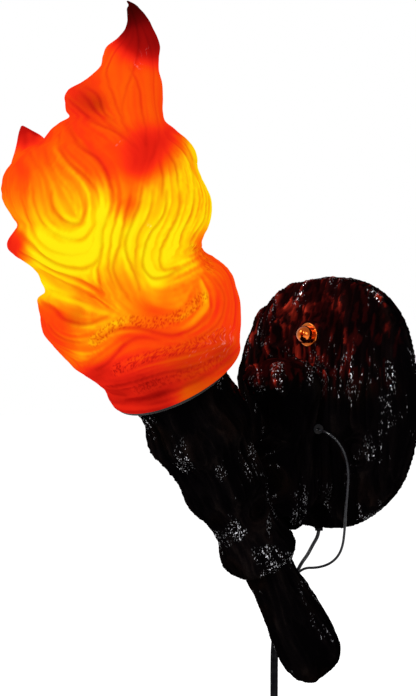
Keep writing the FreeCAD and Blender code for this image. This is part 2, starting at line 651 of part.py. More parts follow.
def make_socket_contact():
    """The springy centre tongue under the bulb's tip."""
    floor = -SHELL_DEPTH
    foot = rod(4.5, Vector(0, 0, floor), Vector(0, 0, floor + 0.8))
    button = rod(2.5, Vector(0, 0, floor + 0.8), Vector(0, 0, CAP_TIP_Z - PASS_CLEARANCE))
    return in_torch(foot.fuse(button))


def make_bulb_cap():
    skirt_bottom = CAP_TIP_Z + 5
    profile = [Vector(0, 0, CAP_TIP_Z), Vector(3.5, 0, CAP_TIP_Z), Vector(4.2, 0, CAP_TIP_Z + 1.5),
               Vector(CAP_R - 2, 0, skirt_bottom - 1), Vector(CAP_R, 0, skirt_bottom),
               Vector(CAP_R, 0, CAP_TOP - 1.5), Vector(CAP_R - 0.8, 0, CAP_TOP), Vector(0, 0, CAP_TOP)]
    return in_torch(revolved(profile))


def bulb_profile(inset):
    """The pear outline of the bulb from its neck to its crown, as a closed wire."""
    neck = BULB_NECK_R - 2 * inset
    widest = BULB_TOP - BULB_R
    radius = BULB_R - inset
    bottom = CAP_TOP + CLEARANCE
    top = Vector(0, 0, widest + radius)
    side = Vector(radius, 0, widest)
    shoulder = Vector(radius * 0.86, 0, widest - radius * 0.62)
    neck_top = Vector(neck, 0, CAP_TOP + 9)
    crown = Part.Arc(side, Vector(radius * math.sqrt(0.5), 0, widest + radius * math.sqrt(0.5)), top)
    flank = Part.BSplineCurve()
    flank.interpolate(Points=[neck_top, shoulder, side], InitialTangent=Vector(0.2, 0, 1), FinalTangent=Z)
    foot = Vector(neck, 0, bottom)
    centre = Vector(0, 0, bottom)
    edges = [Part.LineSegment(centre, foot).toShape(), Part.LineSegment(foot, neck_top).toShape(),
             flank.toShape(), crown.toShape(), Part.LineSegment(top, centre).toShape()]
    return Part.Face(Part.Wire(edges))


def make_bulb_glass():
    outer = bulb_profile(0).revolve(Vector(0, 0, 0), Z, 360)
    inner = bulb_profile(BULB_GLASS).revolve(Vector(0, 0, 0), Z, 360)
    return in_torch(outer.cut(inner))


def make_bulb_stem():
    """The glass stem that carries the filaments."""
    base = CAP_TOP + CLEARANCE
    profile = [Vector(0, 0, base), Vector(BULB_NECK_R - 4, 0, base), Vector(2 * STEM_R, 0, base + 14),
               Vector(STEM_R, 0, base + 20), Vector(STEM_R, 0, base + 56), Vector(0, 0, base + 57)]
    return in_torch(revolved(profile))


def make_bulb_filaments():
    """Four light strips leaning round the stem, each on a wire from the stem's foot."""
    strips = []
    for index in range(4):
        angle = math.pi / 4 + index * math.pi / 2
        out = Vector(math.cos(angle), math.sin(angle), 0)
        low = out * FILAMENT_SPREAD + Z * (CAP_TOP + 22)
        high = out * (STEM_R + FILAMENT_R + CLEARANCE) + Z * (CAP_TOP + 54)
        carrier = rod(FILAMENT_R / 2, out * (STEM_R + CLEARANCE) + Z * (CAP_TOP + 24), low + Z * 2)
        strips.append(in_torch(rod(FILAMENT_R, low, high).fuse(carrier)))
    return Part.makeCompound(strips)


# ---- flame shade -----------------------------------------------------------------
# Each ring of the flame: how far up the spine (y, z), its half width as seen and the lean of its plane.
FLAME_RINGS = (
    (-200.6, 45.5, 65.0, 34), (-208.0, 59.0, 74.5, 33), (-222.0, 84.0, 76.5, 31),
    (-238.0, 110.0, 74.5, 27), (-251.0, 134.0, 74.0, 20), (-257.5, 156.0, 76.5, 12),
    (-260.5, 177.0, 72.5, 6), (-262.0, 193.0, 63.0, 2), (-254.0, 208.0, 45.0, -6),
    (-247.5, 222.0, 38.0, -10), (-244.0, 238.0, 34.5, -14), (-236.5, 255.0, 26.0, -18),
    (-229.5, 270.0, 20.0, -18), (-223.5, 284.0, 13.0, -12), (-223.0, 296.0, 7.5, 0),
    (-229.5, 306.5, 2.2, 20))


def flame_outline(index, y, z, half_width, lean, inset):
    """One lobed ring: strands that turn a little from each ring to the next."""
    lean = math.radians(lean)
    side = X
    up = Vector(0, math.cos(lean), math.sin(lean))
    broad = half_width - inset
    deep = half_width * 0.88 - inset
    lobe = 0.055 * min(1, half_width / 60)

    def radius_at(angle):
        seen = angle - math.pi / 4
        plain = broad * deep / math.hypot(deep * math.cos(seen), broad * math.sin(seen))
        strand = math.cos(FLAME_STRANDS * (angle - 0.13 * index))
        return plain * (1 + lobe * strand)
    return outline(radius_at, Vector(0, y, z), side, up, FLAME_POINTS)


def round_ring(radius, height):
    """A plain ring of the shade's foot, square to the torch."""
    centre = TORCH.multVec(Vector(0, 0, height))
    return outline(lambda angle: radius, centre, X, TO_WALL, FLAME_POINTS)


def make_horn():
    """The curled side tongue of the flame."""
    rings = ((Vector(-26, -280, 150), 26), (Vector(-33, -286, 170), 21), (Vector(-39.5, -292, 187), 12.5),
             (Vector(-44.5, -297, 200), 6.5), (Vector(-47.5, -300, 211), 1.5))
    wires = []
    for centre, radius in rings:
        wires.append(outline(lambda angle: radius, centre, X, Vector(0, 0.94, 0.34), 12))
    return loft(wires)


def make_flame_shade():
    """The hollow flame: lofted strands on a bent spine, a side tongue and a rolled foot."""
    foot_z = GASKET_THICKNESS + SHADE_BASE_GAP
    foot = [round_ring(SHADE_RIM_R, foot_z), round_ring(SHADE_RIM_R, foot_z + 5),
            round_ring(SHADE_RIM_R - 2, foot_z + 9)]
    outer = loft(foot + [flame_outline(index, *ring, 0) for index, ring in enumerate(FLAME_RINGS)])
    outer = outer.fuse(make_horn())
    mouth = PAN_RING_R + SHADE_RING_GAP
    inner_foot = [round_ring(mouth, foot_z - 1), round_ring(mouth, foot_z + 9)]
    inner_rings = FLAME_RINGS[:11]
    inner_wires = [flame_outline(index, *ring, SHADE_WALL) for index, ring in enumerate(inner_rings)]
    inner = loft(inner_foot + inner_wires, ruled=True)
    return outer.cut(inner)


def make_shade_gasket():
    return in_torch(tube(PAN_R, PAN_RING_R + CLEARANCE, Vector(0, 0, 0), Vector(0, 0, GASKET_THICKNESS)))


# ---- cords: straight runs joined by tangent arcs ---------------------------------
def corner_radius(before, corner, after, wanted=None):
    """The arc's radius at a corner: 0.45 of the shorter run, or a given bend."""
    first = (corner - before).Length
    second = (after - corner).Length
    half_turn = (corner - before).getAngle(after - corner) / 2
    if wanted:
        return wanted, half_turn
    return 0.45 * min(first, second) / math.tan(half_turn), half_turn


def cord_path(points, bend=None):
    """A wire along a route, and its least radius."""
    edges = []
    start = points[0]
    least = math.inf
    for before, corner, after in zip(points, points[1:], points[2:]):
        radius, half_turn = corner_radius(before, corner, after, bend)
        least = min(least, radius)
        reach = radius * math.tan(half_turn)
        into = (corner - before).normalize()
        out = (after - corner).normalize()
        arc_start = corner - into * reach
        arc_end = corner + out * reach
        inward = (out - into).normalize()
        middle = corner + inward * (radius / math.cos(half_turn) - radius)
        edges.append(Part.LineSegment(start, arc_start).toShape())
        edges.append(Part.Arc(arc_start, middle, arc_end).toShape())
        start = arc_end
    edges.append(Part.LineSegment(start, points[-1]).toShape())
    return Part.Wire(edges), least


def swept(path, radius):
    """A round tube along a path."""
    first = path.OrderedEdges[0]
    start = first.valueAt(first.FirstParameter)
    circle = Part.Wire(Part.makeCircle(radius, start, first.tangentAt(first.FirstParameter)))
    return path.makePipeShell([circle], True, False)


def cord(name, points, radius, bend=None):
    path, least = cord_path(points, bend)
    tube_solid = swept(path, radius)
    expected = math.pi * radius ** 2 * path.Length
    print(f"{name}: least bend radius {least:.1f}, {least / radius / 2:.1f} diameters, length {path.Length:.0f},"
          f" volume / (section x length) {tube_solid.Volume / expected:.4f}")
    return tube_solid


def sleeve_entry(side):
    """Where one of the two wires meets the sleeve's flat top."""
    across = (Y - SLEEVE_DOWN * Y.dot(SLEEVE_DOWN)).normalize()
    return SLEEVE_TOP + across * (side * SLEEVE_WIRE_SPREAD)


def front_route():
    """From its splice in the plate's hollow, out of the arm's flank, down to the sleeve."""
    turn_in = Vector(SPLICE_X, SPLICE_Y, FLANK_EXIT.z)
    return [Vector(SPLICE_X, SPLICE_Y, FRONT_SPLICE_TOP), turn_in,
            FLANK_EXIT + FLANK_OUTWARD * 6, Vector(36.5, -44.0, -23.5), Vector(43.0, -39.0, -31.5),
            Vector(47.0, -36.0, -42.0), Vector(48.5, -34.5, -55.0), Vector(46.5, -33.5, -70.0),
            Vector(42.0, -30.5, -86.0), Vector(37.0, -26.0, -103.0), Vector(31.5, -22.0, -117.5),
            Vector(24.0, -19.8, -127.5), Vector(14.0, -20.0, -134.5), Vector(2.5, -22.5, -138.0),
            Vector(-8.5, -26.5, -138.4), sleeve_entry(-1) - SLEEVE_DOWN * 9, sleeve_entry(-1)]


def rear_route():
    """From its splice, out of the plate's bottom edge, down to the sleeve."""
    return [Vector(SPLICE_X, SPLICE_Y, REAR_SPLICE_TOP - SPLICE_LENGTH), Vector(SPLICE_X, SPLICE_Y, -92.0),
            Vector(RIM_WAY_X, RIM_WAY_Y, -99.0), Vector(-8.1, -7.1, -112.0), Vector(-11.4, -11.6, -121.0),
            Vector(-13.2, -15.8, -129.0), Vector(-15.8, -21.2, -136.0), sleeve_entry(1) - SLEEVE_DOWN * 7,
            sleeve_entry(1)]


def lead_route(side):
    """A lamp lead: from its splice through the arm's wire way, then up the torch's bore."""
    z = WIRE_WAY_Z + side * LEAD_STACK
    end_z = FRONT_SPLICE_TOP - SPLICE_LENGTH if side > 0 else REAR_SPLICE_TOP
    lean = math.radians(TORCH_LEAN)
    turn_up = Vector(0, torch_axis_y(z) + side * SOCKET_LEAD_SPREAD / math.cos(lean), z)
    top = TORCH.multVec(Vector(0, side * SOCKET_LEAD_SPREAD, -SOCKET_DEPTH + SOCKET_LEAD_DEPTH))
    return [Vector(SPLICE_X, SPLICE_Y, end_z), Vector(SPLICE_X, SPLICE_Y, z),
            Vector(0, SPLICE_Y - 7.5, z), turn_up, top]


def lamp_cord_route():
    sleeve_end = SLEEVE_TOP + SLEEVE_DOWN * SLEEVE_LENGTH
    coil_start, _ = coil_state(0)
    return [sleeve_end, sleeve_end + SLEEVE_DOWN * 16, Vector(-46.0, -21.5, -206.0),
            Vector(coil_start.x, coil_start.y, -228.0), coil_start + Z * (2 * CORD_R)]


# ---- coil ------------------------------------------------------------------------
COIL_OUTER_R = COIL_MEAN_R + COIL_TURNS_PER_LAYER * COIL_PITCH / 2
COIL_INNER_R = COIL_OUTER_R - COIL_TURNS_PER_LAYER * COIL_PITCH
COIL_TURNS = 2 * COIL_TURNS_PER_LAYER + 0.5
COIL_CENTRE = Vector(-48.0 + COIL_OUTER_R, -20.0, COIL_TOP_Z - COIL_OUTER_R - CORD_R)


def coil_state(turn):
    """Place and direction on the coil: in on one layer, over in a half turn, out on the other."""
    angle = math.pi + 2 * math.pi * turn
    climb_start = COIL_TURNS_PER_LAYER
    climb_end = climb_start + 0.5
    across = 0.0
    inward = 0.0
    if turn < climb_start:
        radius = COIL_OUTER_R - COIL_PITCH * turn
        depth = 0.0
        inward = -COIL_PITCH / (2 * math.pi)
    elif turn > climb_end:
        radius = COIL_INNER_R + COIL_PITCH * (turn - climb_end)
        depth = COIL_PITCH
        inward = COIL_PITCH / (2 * math.pi)
    else:
        share = (turn - climb_start) / (climb_end - climb_start)
        radius = COIL_INNER_R - COIL_PITCH * 0.5 * share * (1 - share)
        inward = -COIL_PITCH * (1 - 2 * share) / (2 * math.pi)
        depth = COIL_PITCH * share * share * (3 - 2 * share)
        across = COIL_PITCH * 6 * share * (1 - share) / math.pi
    if turn in (0, COIL_TURNS):
        inward = 0.0
    out = Vector(math.cos(angle), 0, math.sin(angle))
    along = Vector(-math.sin(angle), 0, math.cos(angle))
    return COIL_CENTRE + out * radius + Y * depth, (along * radius + out * inward + Y * across).normalize()


def tangent_arc(start, knee, end):
    """The arc from start to end whose end tangents meet at the knee."""
    middle = (start + end) * 0.5
    half_chord = (end - start).Length / 2
    rise = (knee - middle).Length
    angle = math.atan2(rise, half_chord)
    crown = middle + (knee - middle).normalize() * (half_chord * math.tan(angle / 2))
    return Part.Arc(start, crown, end).toShape()


def biarc(start, start_way, end, end_way):
    """Two arcs that leave and arrive along given directions."""
    span = end - start
    ways = start_way + end_way
    spread = 2 * (1 - start_way.dot(end_way))
    pull = span.dot(ways)
    reach = (math.sqrt(pull * pull + spread * span.dot(span)) - pull) / spread
    first_knee = start + start_way * reach
    second_knee = end - end_way * reach
    joint = (first_knee + second_knee) * 0.5
    return [tangent_arc(start, first_knee, joint), tangent_arc(joint, second_knee, end)]


def coil_gap(path):
    """The least gap of the coiled tube to itself, measured on points along it."""
    points = path.discretize(Number=700)
    apart = int(700 * 0.6 / COIL_TURNS)
    least = math.inf
    for index, point in enumerate(points):
        for other in points[index + apart:]:
            least = min(least, (point - other).Length)
    return least - 2 * CORD_R


def make_cord_coil():
    """The put-away length: one unbroken tube in two flat layers."""
    start, start_way = coil_state(0)
    edges = [Part.LineSegment(start - start_way * 2 * CORD_R, start).toShape()]
    quarters = int(4 * COIL_TURNS)
    for quarter in range(quarters):
        here, here_way = coil_state(quarter / 4)
        there, there_way = coil_state((quarter + 1) / 4)
        edges += biarc(here, here_way, there, there_way)
    end, end_way = coil_state(COIL_TURNS)
    edges.append(Part.LineSegment(end, end + end_way * 2 * CORD_R).toShape())
    path = Part.Wire(edges)
    coil = swept(path, CORD_R)
    print(f"cord_coil: gap to itself {coil_gap(path):.2f}, length {path.Length:.0f},"
          f" volume / (section x length) {coil.Volume / (math.pi * CORD_R ** 2 * path.Length):.4f}")
    return coil


def make_cord_tie():
    """A flat band round the bundle at the coil's foot."""
    slack = 1.2
    low = -COIL_OUTER_R - CORD_R - slack + COIL_PITCH * 0.25
    high = -COIL_INNER_R + CORD_R + slack
    front = -CORD_R - PASS_CLEARANCE
    back = COIL_PITCH + CORD_R + PASS_CLEARANCE
    half = TIE_WIDTH / 2
    band = TIE_THICKNESS
    outer = box((-half, half), (front - band, back + band), (low - band, high + band))
    inner = box((-2 * half, 2 * half), (front, back), (low, high))
    tie = outer.cut(inner)
    tie.translate(COIL_CENTRE)
    return tie


# ---- plug ------------------------------------------------------------------------
PLUG_TAIL_LENGTH = 42.0
RELIEF_LENGTH = 12.0


def plug_top():
    end, _ = coil_state(COIL_TURNS)
    return end - Z * (2 * CORD_R + PLUG_TAIL_LENGTH)


def make_plug_tail():
    return rod(CORD_R, plug_top() + Z * PLUG_TAIL_LENGTH, plug_top())


def make_plug_body():
    """A moulded two-blade plug with a tapered strain relief."""
    top = plug_top()
    relief = Part.makeCone(CORD_R + 1, CORD_R + 2.4, RELIEF_LENGTH, top, -Z)
    body_top = top.z - RELIEF_LENGTH
    body = box((top.x - PLUG_HALF_WIDTH, top.x + PLUG_HALF_WIDTH),
               (top.y - PLUG_HALF_DEPTH, top.y + PLUG_HALF_DEPTH), (body_top - PLUG_LENGTH, body_top))
    upright = [edge for edge in body.Edges if abs(edge.tangentAt(edge.FirstParameter).z) > 0.9]
    body = body.makeFillet(PLUG_HALF_DEPTH * 0.6, upright)
    return body.fuse(relief).removeSplitter()


def make_plug_blades():
    face_z = plug_top().z - RELIEF_LENGTH - PLUG_LENGTH
    blades = []
    for side in (-1, 1):
        x = plug_top().x + side * BLADE_SPACING / 2
        y = plug_top().y
        blade = box((x - BLADE_THICKNESS / 2, x + BLADE_THICKNESS / 2),
                    (y - BLADE_WIDTH / 2, y + BLADE_WIDTH / 2), (face_z - BLADE_LENGTH, face_z))
        hole_z = face_z - BLADE_LENGTH + 4
        hole = rod(1.5, Vector(x - BLADE_THICKNESS, y, hole_z), Vector(x + BLADE_THICKNESS, y, hole_z))
        blades.append(blade.cut(hole))
    return Part.makeCompound(blades)


# ---- wire pieces -----------------------------------------------------------------
def make_arm_grommet():
    """The rubber sleeve where the front wire leaves the arm's flank."""
    outer = FLANK_WAY_R + GROMMET_WALL - CLEARANCE
    return tube(outer, FRONT_WIRE_R + CLEARANCE, FLANK_SEAT, FLANK_EXIT + FLANK_OUTWARD)


def make_plate_grommet():
    top = Vector(RIM_WAY_X, RIM_WAY_Y, -PLATE_HALF_HEIGHT + PLATE_WALL + 1)
    bottom = Vector(RIM_WAY_X, RIM_WAY_Y, -PLATE_HALF_HEIGHT - GROMMET_FLANGE)
    return tube(RIM_WAY_R - CLEARANCE, REAR_WIRE_R + PASS_CLEARANCE, top, bottom)


def make_wire_splices():
    """Two crimped joints between the lamp's leads and the supply wires."""
    splices = []
    for top_z in (FRONT_SPLICE_TOP, REAR_SPLICE_TOP):
        top = Vector(SPLICE_X, SPLICE_Y, top_z)
        splices.append(rod(SPLICE_R, top, top - Z * SPLICE_LENGTH))
    return Part.makeCompound(splices)


def make_cord_sleeve():
    """The tapered sleeve that joins the two wires to the lamp cord."""
    body = SLEEVE_LENGTH * 0.7
    barrel = rod(SLEEVE_R, SLEEVE_TOP, SLEEVE_TOP + SLEEVE_DOWN * body)
    taper_top = SLEEVE_TOP + SLEEVE_DOWN * body
    taper = Part.makeCone(SLEEVE_R, CORD_R + 0.7, SLEEVE_LENGTH - body, taper_top, SLEEVE_DOWN)
    return fused([barrel, taper])


def make_socket_leads():
    leads = [cord("socket lead", lead_route(side), LEAD_R, LEAD_BEND_R) for side in (1, -1)]
    return Part.makeCompound(leads)


# ---- all the pieces --------------------------------------------------------------
def all_parts():
    return {
        "back_plate": make_back_plate(),
        "mounting_strap": make_mounting_strap(),
        "ground_screw": make_ground_screw(),
        "strap_stud": make_strap_stud(),
        "stud_lock_nut": make_stud_lock_nut(),
        "nut_ring": make_nut_ring(),
        "dome_nut": make_dome_nut(),
        "arm": make_arm(),
        "arm_bolts": make_arm_bolts(),
        "arm_washers": make_arm_washers(),
        "arm_inserts": make_arm_inserts(),
        "arm_top_screw": make_arm_top_screw(),
        "torch_body": make_torch_body(),
        "handle": make_handle(),
        "handle_screw": make_handle_screw(),
        "gallery_pan": make_gallery_pan(),
        "pan_screws": make_pan_screws(),
        "socket_housing": make_socket_housing(),
        "socket_ring": make_socket_ring(),
        "socket_shell": make_socket_shell(),
        "socket_contact": make_socket_contact(),
        "bulb_cap": make_bulb_cap(),
        "bulb_glass": make_bulb_glass(),
        "bulb_stem": make_bulb_stem(),
        "bulb_filaments": make_bulb_filaments(),
        "flame_shade": make_flame_shade(),
        "shade_gasket": make_shade_gasket(),
        "socket_leads": make_socket_leads(),
        "wire_splices": make_wire_splices(),
        "arm_grommet": make_arm_grommet(),
        "plate_grommet": make_plate_grommet(),
        "supply_wire_front": cord("supply_wire_front", front_route(), FRONT_WIRE_R),
        "supply_wire_rear": cord("supply_wire_rear", rear_route(), REAR_WIRE_R),
        "cord_sleeve": make_cord_sleeve(),
        "lamp_cord": cord("lamp_cord", lamp_cord_route(), CORD_R),
        "cord_coil": make_cord_coil(),
        "cord_tie": make_cord_tie(),
        "plug_tail": make_plug_tail(),
        "plug_body": make_plug_body(),
        "plug_blades": make_plug_blades(),
    }


os.makedirs("parts", exist_ok=True)
for name, shape in all_parts().items():
    shape.exportStep(f"parts/{name}.step")
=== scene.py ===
import json
import math

import bpy
import numpy as np
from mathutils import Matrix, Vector
from mathutils.kdtree import KDTree


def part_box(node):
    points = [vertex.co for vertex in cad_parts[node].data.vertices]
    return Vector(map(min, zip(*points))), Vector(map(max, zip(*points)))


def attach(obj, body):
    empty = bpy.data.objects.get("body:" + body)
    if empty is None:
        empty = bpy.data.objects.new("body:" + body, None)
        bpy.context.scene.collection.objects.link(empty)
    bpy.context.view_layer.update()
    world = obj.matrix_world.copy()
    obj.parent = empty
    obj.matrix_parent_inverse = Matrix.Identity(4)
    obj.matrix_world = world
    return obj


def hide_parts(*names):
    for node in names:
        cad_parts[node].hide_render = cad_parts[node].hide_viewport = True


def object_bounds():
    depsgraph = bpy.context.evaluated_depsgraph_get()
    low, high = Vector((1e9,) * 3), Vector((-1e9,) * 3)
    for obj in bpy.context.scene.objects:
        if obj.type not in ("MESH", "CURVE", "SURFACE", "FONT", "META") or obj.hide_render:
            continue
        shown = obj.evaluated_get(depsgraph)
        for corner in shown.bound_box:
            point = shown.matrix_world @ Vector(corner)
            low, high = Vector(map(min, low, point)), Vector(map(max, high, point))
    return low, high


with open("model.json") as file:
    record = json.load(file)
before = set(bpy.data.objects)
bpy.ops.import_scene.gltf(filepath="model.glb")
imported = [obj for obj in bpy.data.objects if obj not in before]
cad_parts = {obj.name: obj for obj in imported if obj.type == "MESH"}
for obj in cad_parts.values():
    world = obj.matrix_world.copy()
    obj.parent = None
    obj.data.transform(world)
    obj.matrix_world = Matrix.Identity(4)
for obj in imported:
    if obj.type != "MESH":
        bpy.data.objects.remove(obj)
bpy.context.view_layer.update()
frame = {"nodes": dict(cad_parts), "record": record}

NODES = frame["nodes"]
COARSE = 1.0

# ---- the view --------------------------------------------------------------------
EYE = np.array((0.98643, -1.13489, 0.04675))
RIGHT = np.array((math.sqrt(0.5), math.sqrt(0.5), 0.0))
AWAY = np.array((-math.sqrt(0.5), math.sqrt(0.5), 0.0))
LENS_MM = 91.278
FRAME_MM = 36.0
VIEW_WIDE_PX = 416
VIEW_HIGH_PX = 696
PIXEL_FOCAL = LENS_MM / FRAME_MM * VIEW_HIGH_PX


def make_camera():
    lens = bpy.data.cameras.new("camera")
    lens.sensor_fit = "VERTICAL"
    lens.sensor_height = FRAME_MM
    lens.lens = LENS_MM
    eye = add_object("camera", lens)
    eye.location = EYE
    eye.rotation_euler = (math.pi / 2, 0, math.pi / 4)
    bpy.context.scene.camera = eye


def seen_at(points):
    """Where points in metres fall in the view, in pixels across and down."""
    apart = points - EYE
    scale = PIXEL_FOCAL / (apart @ AWAY)
    return VIEW_WIDE_PX / 2 + scale * (apart @ RIGHT), VIEW_HIGH_PX / 2 - scale * apart[..., 2]


# ---- shared helpers --------------------------------------------------------------
NOISE_CELLS = 32
FINER = 2.03


def noise(points, seed):
    """Smooth noise from -1 to 1 on a lattice one unit wide."""
    table = np.random.default_rng(seed).uniform(-1, 1, (NOISE_CELLS,) * 3)
    cell = np.floor(points).astype(int)
    part = points - cell
    part = part * part * (3 - 2 * part)
    total = np.zeros(points.shape[:-1])
    for corner in np.ndindex(2, 2, 2):
        weight = np.ones_like(total)
        index = []
        for axis in range(3):
            share = part[..., axis]
            weight = weight * (share if corner[axis] else 1 - share)
            index.append((cell[..., axis] + corner[axis]) % NOISE_CELLS)
        total += weight * table[tuple(index)]
    return total


def crests(points, seed, layers=3):
    """Sharp crests over smooth ground, from 0 to 1."""
    total = np.zeros(points.shape[:-1])
    size = 1.0
    whole = 0.0
    for layer in range(layers):
        total += size * (1 - np.abs(noise(points, seed + layer))) ** 2
        whole += size
        points = points * FINER
        size *= 0.5
    return total / whole


def smooth_step(low, high, value):
    share = np.clip((value - low) / (high - low), 0, 1)
    return share * share * (3 - 2 * share)


def smooth_table(knots, values, at):
    """A smooth curve through the values at the knots."""
    slopes = np.gradient(values, knots)
    index = np.clip(np.searchsorted(knots, at, side="right") - 1, 0, len(knots) - 2)
    span = knots[index + 1] - knots[index]
    share = (at - knots[index]) / span
    rest = 1 - share
    low = (1 + 2 * share) * rest ** 2 * values[index] + share * rest ** 2 * span * slopes[index]
    high = share ** 2 * (3 - 2 * share) * values[index + 1] - share ** 2 * rest * span * slopes[index + 1]
    return low + high


def reach_along(points):
    """The distance along a line at each of its points."""
    return np.concatenate(([0], np.cumsum(np.linalg.norm(np.diff(points, axis=0), axis=1))))


def refined(rows, knots, at):
    """Rows of values at more places, on a smooth curve through each column."""
    return np.stack([smooth_table(knots, column, at) for column in rows.T], axis=1)


def smooth_path(numbers, step):
    """Points close together on a smooth line through the listed points, given as x, y, x, y and so on."""
    points = np.reshape(numbers, (-1, 2)).astype(float)
    reach = reach_along(points)
    return refined(points, reach, np.linspace(0, reach[-1], max(3, int(reach[-1] / step) + 1)))


def evened(values, reach):
    """Each value averaged with its neighbours on both sides."""
    window = np.ones(2 * reach + 1) / (2 * reach + 1)
    return np.convolve(np.pad(values, reach, mode="edge"), window, mode="valid")


def once_round(count):
    return np.linspace(0, 2 * math.pi, count, endpoint=False)


def tree_of(points, numbers):
    """A search tree whose points carry the given numbers."""
    tree = KDTree(len(points))
    for point, number in zip(points, numbers):
        tree.insert(point, number)
    tree.balance()
    return tree


def add_object(name, data):
    piece = bpy.data.objects.new(name, data)
    bpy.context.collection.objects.link(piece)
    return piece


def show(name, data, finish, body="fixture"):
    piece = add_object(name, data)
    data.materials.clear()
    data.materials.append(finish)
    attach(piece, body)
    return piece


def baked(piece):
    """The mesh of an object as it stands; the object itself is taken away."""
    bpy.context.view_layer.update()
    mesh = bpy.data.meshes.new_from_object(piece.evaluated_get(bpy.context.evaluated_depsgraph_get()))
    bpy.data.objects.remove(piece)
    return mesh


def grid_faces(rows, cols, first=0, flip=False):
    """The quads of a tube of points, closed across its columns."""
    row, col = np.mgrid[0:rows - 1, 0:cols]
    here = row * cols + col
    beside = row * cols + (col + 1) % cols
    corners = [here, beside, beside + cols, here + cols]
    if flip:
        corners.reverse()
    return (np.stack(corners, axis=-1).reshape(-1, 4) + first).tolist()


def fan_faces(first, cols, tip, flip=False):
    """The triangles from a ring of points to one more point."""
    ends = [np.arange(cols), (np.arange(cols) + 1) % cols]
    if flip:
        ends.reverse()
    return [[first + start, first + end, tip] for start, end in zip(*(side.tolist() for side in ends))]


def mesh_of(name, points, faces, smooth=True):
    mesh = bpy.data.meshes.new(name)
    mesh.from_pydata(np.asarray(points).tolist(), [], faces)
    if smooth:
        mesh.shade_smooth()
    mesh.update()
    return mesh


def triples(items, name):
    flat = np.zeros(len(items) * 3)
    items.foreach_get(name, flat)
    return flat.reshape(-1, 3)


def points_of(mesh):
    return triples(mesh.vertices, "co")


def normals_of(mesh):
    return triples(mesh.vertex_normals, "vector")


def set_points(mesh, points):
    mesh.vertices.foreach_set("co", np.asarray(points, float).ravel())
    mesh.update()


def tag(mesh, name, values):
    """A value for each vertex that the finish can read."""
    layer = mesh.attributes.new(name, "FLOAT", "POINT")
    layer.data.foreach_set("value", np.asarray(values, np.float32).ravel())


# ---- finishes --------------------------------------------------------------------
def linear(*bytes_rgb):
    """A screen colour from 0 to 255 as the shader's linear colour."""
    shares = [value / 255 for value in bytes_rgb]
    return [s / 12.92 if s <= 0.04045 else ((s + 0.055) / 1.055) ** 2.4 for s in shares]


def feed(tree, node, inputs):
    """Holds each named input of a node at a value, or feeds it from another node's output."""
    for socket, value in inputs.items():
        if isinstance(value, bpy.types.NodeSocket):
            tree.links.new(value, node.inputs[socket])
        else:
            node.inputs[socket].default_value = value


def new_node(tree, kind, inputs, **settings):
    made = tree.nodes.new(kind)
    for key, value in settings.items():
        setattr(made, key, value)
    feed(tree, made, inputs)
    return made


class Finish:
    """A procedural material built step by step."""

    def __init__(self, name, metallic=0.0, level=0.5):
        self.material = bpy.data.materials.new(name)
        self.material.use_nodes = True
        self.tree = self.material.node_tree
        self.shader = self.tree.nodes["Principled BSDF"]
        self.set({"Metallic": metallic, "Specular IOR Level": level})
        self.coords = new_node(self.tree, "ShaderNodeTexCoord", {}).outputs["Object"]

    def set(self, inputs):
        feed(self.tree, self.shader, inputs)

    def grain(self, scale, detail=4.0, stretch=(1, 1, 1), turn=(0, 0, 0)):
        place = new_node(self.tree, "ShaderNodeMapping",
                         {"Vector": self.coords, "Scale": stretch, "Rotation": turn})
        inputs = {"Vector": place.outputs["Vector"], "Scale": scale, "Detail": detail}
        return new_node(self.tree, "ShaderNodeTexNoise", inputs).outputs["Fac"]

    def attribute(self, name):
        return new_node(self.tree, "ShaderNodeAttribute", {}, attribute_name=name).outputs["Fac"]

    def ramp(self, value, *stops):
        ramp = new_node(self.tree, "ShaderNodeValToRGB", {"Fac": value})
        elements = ramp.color_ramp.elements
        elements.remove(elements[0])
        elements[0].position = stops[0][0]
        elements[0].color = (*stops[0][1], 1)
        for position, colour in stops[1:]:
            elements.new(position).color = (*colour, 1)
        return ramp.outputs["Color"]

    def span(self, value, low, high, start=0.3, end=0.7):
        """The value spread from one number to another."""
        inputs = {"Value": value, "From Min": start, "From Max": end, "To Min": low, "To Max": high}
        return new_node(self.tree, "ShaderNodeMapRange", inputs).outputs["Result"]

    def product(self, first, second):
        return new_node(self.tree, "ShaderNodeMath", {0: first, 1: second}, operation="MULTIPLY").outputs[0]

    def mix(self, share, first, second):
        inputs = {"Factor": share, "A": first, "B": second}
        return new_node(self.tree, "ShaderNodeMix", inputs, data_type="RGBA").outputs["Result"]

    def bump(self, height, strength, distance):
        inputs = {"Height": height, "Strength": strength, "Distance": distance}
        earlier = self.shader.inputs["Normal"].links
        if earlier:
            inputs["Normal"] = earlier[0].from_socket
        self.set({"Normal": new_node(self.tree, "ShaderNodeBump", inputs).outputs["Normal"]})


EVEN = (1, 1, 1)
FINE_RELIEF = 0.0004


def plain_finish(name, dark, light, scale, roughness, metallic=0.0, stretch=EVEN, bump=0.15, level=0.5):
    """A worn surface between two colours, with uneven gloss and a little relief."""
    finish = Finish(name, metallic, level)
    wide = finish.grain(scale, stretch=stretch)
    fine = finish.grain(scale * 6, stretch=stretch)
    finish.set({"Base Color": finish.ramp(wide, (0.35, dark), (0.65, light)),
                "Roughness": finish.span(fine, roughness * 0.75, min(1, roughness * 1.35))})
    finish.bump(fine, bump, FINE_RELIEF)
    return finish.material


